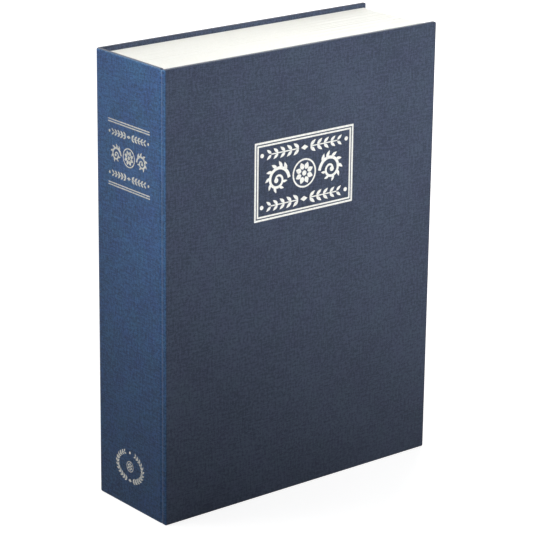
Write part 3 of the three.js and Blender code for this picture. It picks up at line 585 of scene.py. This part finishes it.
# A paper that shows the step of the turned-in cloth under it
def buildPastedown(facts, fold):
    low, high = cad("front_endpaper")
    margin, edge, step, shoulder, slope, flat = pick(facts, "margin edge step shoulder slope flat")
    start, sunk = fold["turnIn"] - margin, high.y - step
    stack = [(low.y, 0.0), (high.y - edge, 0.0), (high.y, edge), (high.y, start - shoulder),
             (high.y - edge, start), (sunk + edge, start + slope), (sunk, start + slope + shoulder),
             (sunk, start + flat)]
    shape = bmesh.new()
    addStack(shape, "y", frontOf(low, high, facts["corner"]), stack, 3)
    newPiece("cover_pastedown", shape, pastePaper, "cover", "endpaper", "front_endpaper")


def buildSpineAndBack(facts):
    x, y, z = zip(caseLow, caseHigh)
    edge, joint, inner, inside, spine = pick(facts, "edge jointEdge rim inside spineEdge")
    corners = [(x[0], y[0], joint), (x[0] + panel, y[0], inner), (x[0] + panel, y[1] - panel, inside),
               (x[1], y[1] - panel, edge), (x[1], y[1], edge), (x[0], y[1], spine)]
    shape = bmesh.new()
    addStack(shape, "z", corners, slab(*z, edge, edge, 5), 8)
    newPiece("case_cloth_wrap", shape, bookCloth, "case", "book_cloth", "case_cloth")


# The cloth dips between spine and front board
def buildJointFold(facts, lap):
    aside, dip, sheet, short, columns, rows, reach = pick(facts, "set dip sheet short columns rows blend")
    start, end = caseLow.y + lap, frontHigh.y - lap
    low, high = frontLow.z + short, frontHigh.z - short
    outer = [(frontLow.x + aside + dip * sin(pi * share) ** 1.5, start + (end - start) * share)
             for share in (k / columns for k in range(columns + 1))]
    outline = outer + [(x + sheet, y) for x, y in outer[::-1]]
    shape = bmesh.new()
    rings = addWall(shape, [raised(outline, low + (high - low) * row / rows) for row in range(rows + 1)], "open")
    for ring in (rings[0], rings[-1]):
        for k in range(columns):
            shape.faces.new((ring[k], ring[k + 1], ring[-k - 2], ring[-k - 1]))
    piece = newPiece("joint_fold", shape, bookCloth, None, "book_cloth")
    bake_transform(piece)
    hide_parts("joint_cloth")


buildFrontCover(caseFacts, flapFacts)
buildPastedown(pasteFacts, flapFacts)
buildSpineAndBack(caseFacts)
buildJointFold(jointFacts, caseFacts["jointEdge"])
print("hardback case built")


# Foil tooling, drawn flat in (a, b) with its thickness along +Z, then laid on the cover or spine

foilFacts = {
    "proud": 0.05, "sunk": 0.03, "lift": (0.003, 7),  # mm from level to level, and how many levels
    "splay": 38.0,  # degrees between leaf and stem
    "volute": {"turns": 1.55, "steps": 60, "tighten": 0.86, "ease": 0.85, "splay": 42.0, "leaved": (4, 37)},
    "cover": {"middle": (0.0, 191.0), "size": (36.0, 23.0), "rules": ((0.0, 1.15), (1.85, 1.0)), "rosette": 7.8,
              "scroll": 8.2, "stroke": 2.0, "leaf": 4.9, "garland": 15.1, "reach": (4.2, 29.0)},
    "spine": {"middle": (-0.65, 208.75), "width": 38.7, "rules": (-18.9, -17.5, 17.5, 18.9), "line": 0.62,
              "rosette": 5.1, "scroll": 4.6, "stroke": 1.2, "leaf": 3.0, "garland": 11.9, "reach": (2.7, 17.0)},
    "foot": {"middle": (-1.5, 25.0), "reach": (12.0, 8.6), "turn": (-76.0, 62.0), "leaf": 2.5, "rosette": 3.0,
             "knot": (1.5, 1.1), "dot": 0.8},
}


# Each flat lies a hair above or below the last, so that none that overlap are level
def addFlat(shape, points):
    proud, sunk, (lift, levels) = pick(foilFacts, "proud sunk lift")
    addWall(shape, [raised(points, -sunk), raised(points, proud + lift * (len(shape.faces) % levels))])


# Foil between two outlines
def addRim(shape, outer, inner):
    low, high = -foilFacts["sunk"], foilFacts["proud"]
    addWall(shape, [raised(outer, low), raised(outer, high), raised(inner, high), raised(inner, low)], "loop")


def addDot(shape, middle, radius):
    addFlat(shape, circle(radius, 14, middle))


def addDiamond(shape, a, b, wide, tall):
    addFlat(shape, [(a - wide, b), (a, b - tall), (a + wide, b), (a, b + tall)])


# An almond leaf with its root at root, pointing at an angle
def addLeaf(shape, root, angle, length, breadth, steps=7):
    side = [(length * k / steps, breadth / 2 * sin(pi * (k / steps) ** 0.8)) for k in range(1, steps)]
    outline = [(0, 0)] + [(a, -b) for a, b in side] + [(length, 0)] + side[::-1]
    c, s = cos(angle), sin(angle)
    addFlat(shape, [(root[0] + a * c - b * s, root[1] + a * s + b * c) for a, b in outline])


# A stem through points, from one width to another
def addStem(shape, points, first, last):
    left, right = [], []
    for i, point in enumerate(points):
        before, after = Vector(points[max(i - 1, 0)]), Vector(points[min(i + 1, len(points) - 1)])
        along = (after - before).normalized()
        beside = Vector((-along.y, along.x)) * (first + (last - first) * i / (len(points) - 1)) / 2
        left.append(Vector(point) + beside)
        right.append(Vector(point) - beside)
    for i in range(len(points) - 1):
        addFlat(shape, [right[i], right[i + 1], left[i + 1], left[i]])


def addRosette(shape, middle, radius, petals):
    for k in range(petals):
        angle = 2 * pi * (k + 0.5) / petals
        addLeaf(shape, polar(0.3 * radius, angle, middle), angle, 0.56 * radius, 0.4 * radius)
    addDot(shape, middle, 0.2 * radius)
    addRim(shape, circle(1.1 * radius, 36, middle), circle(0.97 * radius, 36, middle))


def trail(points, motif, spacing, last):
    curve = bpy.data.curves.new("trail", "CURVE")
    curve.dimensions = "3D"
    spline = curve.splines.new("POLY")
    spline.points.add(len(points) - 1)
    for knot, (a, b) in zip(spline.points, points):
        knot.co = (a, b, 0, 1)
    path = link("trail", curve)
    mesh = grown(trailTree, motif, coverFoil, {"Path": path, "Spacing": spacing, "Last size": last})
    bpy.data.objects.remove(path)
    return mesh


# A volute with leaves on its outer side, which starts beside the rosette and winds inwards
def addScroll(shape, start, radius, stroke, leaf):
    turns, steps, tighten, ease, splay, leaved = pick(foilFacts["volute"], "turns steps tighten ease splay leaved")
    path = []
    for share in (k / steps for k in range(steps + 1)):
        reach = radius * (1 - tighten * share ** ease)
        path.append(polar(reach, pi - 2 * pi * turns * share, (start[0] + radius, start[1])))
    addStem(shape, path, stroke, 0.5 * stroke)
    addDot(shape, path[-1], 0.75 * stroke)
    motif = bmesh.new()
    addLeaf(motif, (0, 0.2 * stroke), radians(splay), leaf, 0.44 * leaf)
    shape.from_mesh(trail(path[slice(*leaved)], motif, 0.72 * leaf, 0.7))


# A stem along path with leaves in pairs
def addGarland(shape, path, leaf):
    motif = bmesh.new()
    for side in (-1, 1):
        addLeaf(motif, (0, 0.1 * side * leaf), radians(foilFacts["splay"] * side), leaf, 0.42 * leaf)
    shape.from_mesh(trail(path, motif, 0.82 * leaf, 0.85))
    addStem(shape, path, 0.14 * leaf, 0.14 * leaf)


def addMirrored(shape, half, middle):
    part = bpy.data.meshes.new("half")
    half.to_mesh(part)
    half.free()
    shape.from_mesh(part)
    part.transform(Matrix.Translation((2 * middle, 0, 0)) @ Matrix.Diagonal((-1, 1, 1, 1)))
    shape.from_mesh(part)


# Rosette between two volutes, with a garland above and below
def addPanel(shape, facts):
    (a, b), (near, far), leaf, rosette, rise = pick(facts, "middle reach leaf rosette garland")
    levels = [b - rise, b + rise]
    addRosette(shape, (a, b), rosette, 8)
    half = bmesh.new()
    addScroll(half, (a + 1.42 * rosette, b - 0.6), facts["scroll"], facts["stroke"], leaf)
    for level in levels:
        addGarland(half, [(a + near + (far - leaf - near) * k / 12, level) for k in range(13)], leaf)
        addDot(half, (a + far + 0.35 * leaf, level), 0.26 * leaf)
    addMirrored(shape, half, a)
    for level in levels:
        addDiamond(shape, a, level, 0.62 * near, 0.372 * near)


def layOn(shape, name, face, material, body):
    lay = {"cover": Matrix(((1, 0, 0, 0), (0, 0, -1, frontLow.y), (0, 1, 0, 0), (0, 0, 0, 1))),
           "spine": Matrix(((0, 0, -1, caseLow.x), (-1, 0, 0, 0), (0, 1, 0, 0), (0, 0, 0, 1)))}[face]
    bmesh.ops.transform(shape, matrix=lay, verts=shape.verts)
    newPiece(name, shape, material, body)


def buildCoverTooling(facts):
    (a, b), (wide, tall) = pick(facts, "middle size")
    rules, flat = bmesh.new(), bmesh.new()
    for inset, width in facts["rules"]:
        corners = rectAround(a, b, wide - inset, tall - inset, 0.2)
        addRim(rules, rounded(corners, 0, 3, 0), rounded(corners, width, 3, 0))
    layOn(rules, "cover_frame_foil", "cover", coverFoil, "cover")
    addPanel(flat, facts)
    layOn(flat, "cover_tooling_foil", "cover", coverFoil, "cover")


def buildSpineTooling(facts):
    a, b = facts["middle"]
    flat = bmesh.new()
    for rise in facts["rules"]:
        line = rectAround(a, b + rise, facts["width"] / 2, facts["line"] / 2)
        addFlat(flat, [corner[:2] for corner in line])
    addPanel(flat, facts)
    layOn(flat, "spine_tooling_foil", "spine", spineFoil, "case")


# A wreath of two sprigs round a small rosette
def buildWreath(facts):
    (a, b), (wide, tall), (start, end) = pick(facts, "middle reach turn")
    leaf, rosette, knot, dot = pick(facts, "leaf rosette knot dot")
    flat, half = bmesh.new(), bmesh.new()
    addRosette(flat, (a, b), rosette, 6)
    angles = [radians(start + (end - start) * k / 36) for k in range(37)]
    addGarland(half, [(a + wide * cos(t), b + tall * sin(t)) for t in angles], leaf)
    addMirrored(flat, half, a)
    addDiamond(flat, a, b - tall, *knot)
    addDot(flat, (a, b + tall), dot)
    layOn(flat, "spine_foot_foil", "spine", spineFoil, "case")


buildCoverTooling(foilFacts["cover"])
buildSpineTooling(foilFacts["spine"])
buildWreath(foilFacts["foot"])
print("foil tooling laid")


# Page block

blockLow, blockHigh = cad("page_block")
blockFacts = {"rimPlate": 1.6, "setBack": 0.5, "corner": 0.4, "edge": 0.3,
              "well": (9.0, 12.0, 10.0), "wellCorner": 4.4, "wellLip": 0.4}  # well: spine, fore-edge, head and foot
leafFacts = {"pitch": 0.91, "thick": 0.79, "deep": 0.6, "start": 0.12, "stray": 0.05, "unevenness": 0.15,
             "bevel": (0.1, 0.14), "seed": 7}


def buildPageBlock(facts):
    x, y, z = zip(blockLow, blockHigh)
    spine, fore, head = facts["well"]
    well = rect((x[0] + spine, x[1] - fore), (z[0] + head, z[1] - head), facts["wellCorner"])
    back, edge = pick(facts, "setBack edge")
    plate = y[0] + facts["rimPlate"]
    stack = [(y[1], back), (plate, back), (plate, 0.0)] + slab(y[0], plate, edge, 0, 3)[::-1][1:]
    shape = bmesh.new()
    addPlate(shape, "y", rect(x, z, facts["corner"]), stack, [(well, None, facts["wellLip"])])
    newPiece("page_moulding", shape, pagePlastic, "case", "page_plastic", "page_block")


# Each leaf shows at head, fore-edge and foot
def buildLeaves(facts, rimPlate):
    x, y, z = zip(blockLow, blockHigh)
    half = Vector(((x[1] - x[0]) / 2, 0, (z[1] - z[0]) / 2))
    start = Vector(((x[0] + x[1]) / 2, y[0] + rimPlate + facts["start"], (z[0] + z[1]) / 2))
    pitch, deep, thick, stray, (sunk, rise) = pick(facts, "pitch deep thick stray bevel")
    profile = ((deep, 0), (sunk, 0), (0, rise), (0, thick - rise), (sunk, thick), (deep, thick))
    leaf = bmesh.new()
    addWall(leaf, [[(half.x - d if fore else -half.x, level, side * (half.z - d)) for d, level in profile]
                   for fore, side in ((False, 1), (True, 1), (True, -1), (False, -1))])
    small = 1 - facts["unevenness"] / half.x
    values = {"Count": int((y[1] - start.y) / pitch), "Start": start, "Step": (0.0, pitch, 0.0),
              "Stray": (0.0, stray, 0.0), "Smallest": (small, 1.0, small), "Seed": facts["seed"]}
    mesh = grown(stackTree, leaf, pagePlastic, values)
    newPiece("page_leaves", mesh, pagePlastic, "case", "page_plastic")


buildPageBlock(blockFacts)
buildLeaves(leafFacts, blockFacts["rimPlate"])
print("page block built")


# Steel box and lid

boxLow, boxHigh = cad("safe_box")
lidLow, lidHigh = cad("safe_lid")
lockMiddle = Vector((61.9, -25.4, 132.5))  # on the lid's face
boxFacts = {"sheet": 0.8, "corner": 4.0, "bend": 2.0, "restWidth": 10.0, "restReach": 3.5, "restInset": 26.0,
            "restGap": 0.3, "windowGap": 0.4, "tabSunk": 0.02}
lidFacts = {"sheet": 0.8, "corner": 2.8, "bend": 1.4, "fold": 4.8, "cutOff": 8.0, "lockOpening": (11.3, 21.3, 0.5)}


# A rest for the lid is lanced out of each end wall
def buildSteelBox(facts, lidFold):
    shape, cutter = bmesh.new(), bmesh.new()
    sheet, corner, bend, gap = pick(facts, "sheet corner bend windowGap")
    width, reach, inset, below = pick(facts, "restWidth restReach restInset restGap")
    addStack(shape, "y", frontOf(boxLow, boxHigh, corner), panStack(boxLow.y, boxHigh.y, bend, sheet), 8)
    top, right = boxLow.y + lidFold + below, boxHigh.x - inset
    left = right - width
    window = rect((left - gap, right + gap), (top + gap, top + reach + sheet), 0.4)
    for z in ((boxLow.z - 1, boxLow.z + 1.5), (boxHigh.z - 1.5, boxHigh.z + 1)):
        addStack(cutter, "z", window, [(z[0], 0), (z[1], 0)], 3, 0)
    shape = carve(shape, cutter)
    for way, wall in ((1, boxLow.z), (-1, boxHigh.z)):
        root, tip = wall + way * facts["tabSunk"], wall + way * (sheet + reach)
        tab = [(top, root, 0.05), (top + sheet, root, 0.3), (top + sheet, tip, 0.2), (top, tip, 0.2)]
        addStack(shape, "x", tab[::-way], slab(left, right, 0.15, 0.15, 2, 0.1), 3, 0)
    newPiece("steel_box", shape, powderCoat, "case", "black_enamel", "safe_box")


# A pan cut open on the hinge's side
def buildLid(facts):
    shape, cutter = bmesh.new(), bmesh.new()
    sheet, corner, bend, fold, cutOff = pick(facts, "sheet corner bend fold cutOff")
    corners = rect((lidLow.x - cutOff, lidHigh.x), (lidLow.z, lidHigh.z), corner)
    addStack(shape, "y", corners, panStack(lidLow.y + fold, lidLow.y, bend, sheet))
    bmesh.ops.recalc_face_normals(shape, faces=shape.faces)
    everything = shape.verts[:] + shape.edges[:] + shape.faces[:]
    cut = bmesh.ops.bisect_plane(shape, geom=everything, plane_co=(lidLow.x, 0, 0), plane_no=(1, 0, 0),
                                 clear_inner=True)
    bmesh.ops.holes_fill(shape, edges=[e for e in cut["geom_cut"] if isinstance(e, bmesh.types.BMEdge)])
    opening = rectAround(lockMiddle.x, lockMiddle.z, *facts["lockOpening"])
    addStack(cutter, "y", opening, [(lidLow.y - 1, 0), (lidLow.y + 2, 0)], 3, 0)
    newPiece("lid_pan", carve(shape, cutter), powderCoat, "lid", "black_enamel", "safe_lid", weigh=True)


buildSteelBox(boxFacts, lidFacts["fold"])
buildLid(lidFacts)
print("steel box and lid built")


# Piano hinge and rivets

hingeFacts = {"axis": (-83.0, -25.4), "z": (22.5, 242.5), "knuckles": 11, "radius": 1.65, "gap": 0.4, "sheet": 0.8,
              "leaf": 11.0, "bore": 0.9, "bevel": 0.15, "notch": 0.12, "sides": 28}
rivetFacts = {"head": (1.9, 0.8), "shank": 1.0, "sheet": 0.8, "edge": 3.2, "proud": 0.05, "hinge": 4, "sides": 20,
              "lid": (1.75, 0.6), "box": (1.65, 0), "strike": (1.85, 0)}  # length, and the formed head behind


# A strip cut away beside the other leaf's knuckles, with its own knuckles along the edge
def buildHingeLeaf(facts, name, first, body, node):
    (x, y), (low, high), count, radius, gap, sheet = pick(facts, "axis z knuckles radius gap sheet")
    leaf, bore, bevel = pick(facts, "leaf bore bevel")
    pitch, clear = (high - low) / count, radius + gap
    outline, middles = [(low, clear)], []
    for i in range(first, count, 2):
        a, b = low + i * pitch + gap / 2, low + (i + 1) * pitch - gap / 2
        middles.append((a + b) / 2)
        outline += [(a, clear), (a, 0.0), (b, 0.0), (b, clear)]
    outline += [(high, clear), (high, leaf), (low, leaf)]
    axis, start, level = {"case": ("x", y, x - radius), "lid": ("y", x, y + radius - sheet)}[body]
    strip = bmesh.new()
    corners = [(start + v, u, facts["notch"]) for u, v in outline][::-1]
    addStack(strip, axis, corners, [(level, 0), (level + sheet, 0)], 2, 0)
    half = (pitch - gap) / 2
    profile = [(bore, -half), (radius - bevel, -half), (radius, bevel - half), (radius, half - bevel),
               (radius - bevel, half), (bore, half)]
    knuckle = turnedShape(profile, facts["sides"], "loop")
    strip.from_mesh(rowOf(knuckle, [(x, y, z) for z in middles], (0.0, 0.0, 0.0), 0.0, 1))
    newPiece(name, strip, zincPlate, body, "zinc_plate", node)


def domeProfile(radius, height, shank, length, tail):
    dome = [(radius * cos(t), height * sin(t)) for t in (pi / 2 * k / 5 for k in range(5))]
    formed = [(0, -length - tail), (1.35 * shank, -length - tail), (1.5 * shank, -length - 0.6 * tail),
              (1.5 * shank, -length), (shank, -length)]
    plain = [(0, -length), (shank, -length)]
    return (formed if tail else plain) + [(shank, 0.0)] + dome + [(0, height)]


def buildRivets(facts, hinge):
    (x, y), (low, high), leaf = pick(hinge, "axis z leaf")
    count, edge, sheet, proud = pick(facts, "hinge edge sheet proud")
    far = leaf - edge
    heights = [low + (high - low) * (i + 0.5) / count for i in range(count)]
    strike = [(cad(node)[0].x + sheet, *middleOf(node)[1:]) for node in ("strike_rivet_1", "strike_rivet_2")]
    rows = (("lid_rivets", "lid", "lid_hinge_rivet", [(x + far, y - proud, z) for z in heights],
             (pi / 2, 0.0, 0.0), facts["lid"]),
            ("box_rivets", "case", "box_hinge_rivet", [(x - sheet, y + far, z) for z in heights],
             (0.0, pi / 2, 0.0), facts["box"]),
            ("strike_rivets", "case", "strike_rivet", strike, (0.0, -pi / 2, 0.0), facts["strike"]))
    for seed, (name, body, stem, places, turn, back) in enumerate(rows, 3):
        rivet = turnedShape(domeProfile(*facts["head"], facts["shank"], *back), facts["sides"])
        nodes = [f"{stem}_{i + 1}" for i in range(len(places))]
        newPiece(name, rowOf(rivet, places, turn, 3.0, seed), zincPlate, body, "zinc_plate", *nodes)


buildHingeLeaf(hingeFacts, "hinge_leaf_box_side", 0, "case", "box_hinge_leaf")
buildHingeLeaf(hingeFacts, "hinge_leaf_lid_side", 1, "lid", "lid_hinge_leaf")
buildRivets(rivetFacts, hingeFacts)
print("hinge and rivets built")


# Combination lock. Its outlines are (half width, half height, corner radius).

lockFacts = {"bezel": (13.5, 27.5, 3.0), "bezelEdge": 0.6, "proud": 2.0, "seat": 0.2, "window": (6.25, 2.55, 0.8),
             "windowLip": 0.25, "track": (7.5875, 5.0, 1.2), "trackDeep": 0.8, "trackLip": 0.2, "slide": 11.5,
             "body": (11.0, 21.0, 0.5), "bay": (9.0, 10.5, 0.3), "bayDrop": 7.0, "bayLip": 0.1}
wheelFacts = {"radius": 7.5, "rim": 4.6, "edge": 0.35, "notch": 0.6, "digits": 10, "axis": 4.3, "bore": 2.7,
              "steps": 12, "flat": 0.55,  # points round each digit's side, and the share of it that is flat
              "text": (3.7, 0.05, 0.03)}  # size, relief and weight of a digit
thumbFacts = {"grooves": 4, "deep": 0.5, "foot": 1.8, "stem": (3.0, 2.5, 0.4)}
screwFacts = {"head": 1.1, "slot": 0.6, "shank": 1.0, "point": 0.4, "sides": 28, "spin": 1.4,
              "radii": {"lock_face_screws": ("lock_screw", 2.0), "lock_back_screws": ("backplate_screw", 1.7)}}
backFacts = {"sheet": 1.0, "corner": 1.5, "ribRise": 14.5, "ribInset": 2.3, "ribHalf": 1.0}
strikeFacts = {"sheet": 1.0, "bend": 1.3, "inside": 0.3, "corner": 0.2}


def buildLockCasting(facts):
    cx, y0, cz = lockMiddle
    top, bottom = y0 - facts["proud"], y0 - facts["seat"]
    holes = [(rectAround(cx, middleOf(f"number_wheel_{i}")[2], *facts["window"]), None, facts["windowLip"])
             for i in (1, 2, 3)]
    holes.append((rectAround(cx, cz + facts["slide"], *facts["track"]), top + facts["trackDeep"], facts["trackLip"]))
    shape = bmesh.new()
    addPlate(shape, "y", rectAround(cx, cz, *facts["bezel"]), slab(top, bottom, facts["bezelEdge"])[::-1], holes)
    bay = rectAround(cx, cz - facts["bayDrop"], *facts["bay"])
    addPlate(shape, "y", rectAround(cx, cz, *facts["body"]), slab(bottom, cad("lock_housing")[1].y, 0, 0.3, 2),
             [(bay, None, facts["bayLip"])])
    newPiece("lock_casting", shape, satinChrome, "lid", "satin_chrome", "lock_housing")


# A flat for each digit and a scooped finger notch between two digits
def wheelOutline(facts, inset, middle):
    full, notch, digits, steps, flat = pick(facts, "radius notch digits steps flat")
    points = []
    for k in range(digits * steps):
        away = abs((k % steps) / steps - 0.5) * 2
        scoop = max(0.0, (away - flat) / (1 - flat))
        radius = full - notch * sin(scoop * pi / 2) ** 2 - inset
        points.append(polar(radius, 2 * pi * (k / steps - 0.5) / digits - pi / 2, middle))
    return points


def buildWheel(facts, number):
    centre = Vector((lockMiddle.x, lockMiddle.y + facts["axis"], middleOf(f"number_wheel_{number}")[2]))
    half = facts["rim"] / 2
    shape, digits = bmesh.new(), bmesh.new()
    rings = addWall(shape, [raised(wheelOutline(facts, inset, centre), centre.z + level)
                            for level, inset in slab(-half, half, facts["edge"], facts["edge"], 3, 0.15)], "open")
    bore = addWall(shape, [raised(circle(facts["bore"], 24, centre), centre.z + level) for level in (half, -half)],
                   "open")
    fillBetween(shape, (rings[0], bore[1]))
    fillBetween(shape, (rings[-1], bore[0]))
    newPiece(f"number_wheel_rim_{number}", shape, acetal, f"wheel_{number}", "wheel_plastic",
             f"number_wheel_{number}")
    for digit in range(facts["digits"]):
        text = bpy.data.curves.new("digit", "FONT")
        text.body, (text.size, text.extrude, text.offset) = str(digit), facts["text"]
        text.align_x, text.align_y = "CENTER", "CENTER"
        holder = link("digit", text)
        flat = finishedMesh(holder)
        bpy.data.objects.remove(holder)
        turn = Matrix.Rotation(-2 * pi * digit / facts["digits"], 4, "Z")
        out = Matrix.Translation((0, -facts["radius"], 0)) @ Matrix.Rotation(pi / 2, 4, "X")
        flat.transform(Matrix.Translation(centre) @ turn @ out)
        digits.from_mesh(flat)
    newPiece(f"wheel_digits_{number}", digits, digitPaint, f"wheel_{number}")


# The ribbed thumb piece, at the open end of its track
def buildThumbPiece(facts, slide):
    low, high = cad("thumb_slide")
    top, foot = low.y, low.y + facts["foot"]
    pitch = (high.x - low.x) / (facts["grooves"] + 1)
    outline = [(low.x, foot, 0.15), (low.x, top, 0.35)]
    for k in range(facts["grooves"]):
        middle = low.x + (k + 1) * pitch
        outline += [(middle - pitch / 4, top, 0.12), (middle - pitch / 6, top + facts["deep"], 0.1),
                    (middle + pitch / 6, top + facts["deep"], 0.1), (middle + pitch / 4, top, 0.12)]
    outline += [(high.x, top, 0.35), (high.x, foot, 0.15)]
    shape = bmesh.new()
    addStack(shape, "z", outline[::-1], slab(low.z, high.z, 0.3, 0.3, 3, 0.1), 3, 0)
    stem = rectAround((low.x + high.x) / 2, lockMiddle.z + slide, *facts["stem"])
    addStack(shape, "y", stem, [(foot - 0.1, 0), (high.y, 0)], 3, 0)
    newPiece("thumb_piece", shape, satinChrome, "latch", "satin_chrome", "thumb_slide")


def slottedScrew(facts, radius, length):
    height, slot, shank, point = pick(facts, "head slot shank point")
    profile = [(0, -length), (0.75 * shank, -length), (shank, point - length), (shank, 0), (radius, 0),
               (radius, 0.45 * height), (0.93 * radius, 0.75 * height), (0.7 * radius, 0.95 * height), (0, height)]
    cutter = bmesh.new()
    addStack(cutter, "z", rectAround(0, 0, radius + 1, slot / 2), [(0.5 * height, 0), (height + 1, 0)])
    return carve(turnedShape(profile, facts["sides"]), cutter)


def buildScrews(facts):
    for name, (stem, radius) in facts["radii"].items():
        nodes = [f"{stem}_{i}" for i in (1, 2)]
        places = [(middleOf(node)[0], cad(node)[1].y - facts["head"], middleOf(node)[2]) for node in nodes]
        low, high = cad(nodes[0])
        screw = slottedScrew(facts, radius, high.y - low.y - facts["head"])
        row = rowOf(screw, places, (-pi / 2, 0.0, 0.0), facts["spin"], 11)
        newPiece(name, row, zincPlate, "lid", "zinc_plate", *nodes)


def buildBackPlate(facts):
    low, high = cad("lock_backplate")
    sheet, corner, rise, inset, half = pick(facts, "sheet corner ribRise ribInset ribHalf")
    shape = bmesh.new()
    addStack(shape, "y", frontOf(low, high, corner), slab(high.y - sheet, high.y, 0.15, 0.25, 2, 0.1))
    for z in (lockMiddle.z - rise, lockMiddle.z + rise):
        rib = rect((low.x + inset, high.x - inset), (z - half, z + half), 0.3)
        addStack(shape, "y", rib, [(low.y, 0), (high.y - 0.9, 0)], 3, 0)
    newPiece("lock_back_cover", shape, zincPlate, "lid", "zinc_plate", "lock_backplate")


def buildStrike(facts):
    low, high = cad("strike_bracket")
    sheet, corner, bend, inside = pick(facts, "sheet corner bend inside")
    outline = [(low.x, low.y, corner), (high.x, low.y, bend), (high.x, high.y, corner),
               (high.x - sheet, high.y, corner), (high.x - sheet, low.y + sheet, inside),
               (low.x, low.y + sheet, corner)]
    shape = bmesh.new()
    addStack(shape, "z", outline, slab(low.z, high.z, corner, corner, 2, 0.1), 6, 0)
    newPiece("strike_angle", shape, zincPlate, "case", "zinc_plate", "strike_bracket")


buildLockCasting(lockFacts)
for number in (1, 2, 3):
    buildWheel(wheelFacts, number)
buildThumbPiece(thumbFacts, lockFacts["slide"])
buildScrews(screwFacts)
buildBackPlate(backFacts)
buildStrike(strikeFacts)
print("combination lock built")


# The solids whose shape is right keep it and take their finish here
for finish, nodes in (
    (binderBoard, ("front_board", "spine_board", "back_board")),
    (zincPlate, ("hinge_pin", "wheel_axle", "latch_bolt", "slide_screw", "gate_sleeve_1", "gate_sleeve_2",
                 "gate_sleeve_3")),
    (springSteel, ("detent_spring",)),
):
    for node in nodes:
        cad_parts[node].data.materials.clear()
        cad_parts[node].data.materials.append(finish)


# Floor, world and lamps. The lamps give a white face about 1 from above and the left.

studio = {
    "floor": "#b4b4b4", "floorHalf": 6000.0, "ambient": 0.1,
    "near": (0.1, 0.84), "far": (0.4, 1.0),  # the floor's own light for the camera, at a distance in m
    "lamps": {  # gridded softboxes: spot, aim, size, spread, watts; each lights what is round its aim
        "coverSoftbox": ((-0.29, -0.59, 0.57), (0.13, -0.03, 0.287), 0.45, 31, 0.69),
        "spineSoftbox": ((-0.7, 0.21, 0.57), (-0.1, -0.17, 0.31), 0.4, 30, 0.5),
        "topSoftbox": ((-0.3, 0.17, 1.14), (-0.12, 0.02, 0.22), 0.45, 40, 0.265),
        "leftSoftbox": ((-0.27, -1.2, 0.35), (-0.27, 0.0, 0.14), 0.25, 10, 0.1),
        "rearSoftbox": ((1.1, 1.0, 0.2), (0.05, 0.0, 0.1), 0.6, 60, 2.2),
    },
}


# 1 where the camera, a reflection or glass looks, else 0
def seenDirectly(add):
    rays = add("LightPath").outputs
    seen = add("Math", {0: rays["Is Camera Ray"], 1: rays["Is Glossy Ray"]}, operation="MAXIMUM")
    return add("Math", {0: seen, 1: rays["Is Transmission Ray"]}, operation="MAXIMUM")


def buildStudio(facts):
    material, add = newMaterial("paleFloor")
    shader = add("BsdfPrincipled", {"Roughness": 0.9, "Base Color": linear(facts["floor"])})
    away = add("VectorMath", {0: add("TexCoord").outputs["Object"]}, operation="LENGTH")
    (near, dim), (far, bright) = pick(facts, "near far")
    glow = add("MapRange", {0: away, 1: near, 2: far, 3: dim, 4: bright})
    strength = add("Math", {0: seenDirectly(add), 1: glow}, operation="MULTIPLY")
    both = add("AddShader", {0: shader, 1: add("Emission", {1: strength})})
    add("OutputMaterial", {"Surface": both})
    plane = bmesh.new()
    bmesh.ops.create_grid(plane, x_segments=1, y_segments=1, size=facts["floorHalf"])
    newPiece("floor", plane, material, None)
    world = bpy.data.worlds.new("studio")
    world.use_nodes = True
    world.node_tree.nodes.clear()
    add = partial(addNode, world.node_tree)
    strength = add("Math", {0: seenDirectly(add), 1: facts["ambient"]}, operation="MAXIMUM")
    add("OutputWorld", {0: add("Background", {"Color": (1, 1, 1, 1), "Strength": strength})})
    bpy.context.scene.world = world
    for name, (spot, aim, size, spread, watts) in facts["lamps"].items():
        data = bpy.data.lights.new(name, "AREA")
        data.shape, data.size, data.energy, data.spread = "SQUARE", size, watts, radians(spread)
        turn = (Vector(aim) - Vector(spot)).to_track_quat("-Z", "Y").to_matrix().to_4x4()
        link(name, data).matrix_world = Matrix.Translation(spot) @ turn


buildStudio(studio)
bpy.context.scene.view_settings.view_transform = "Standard"
print("studio lit")
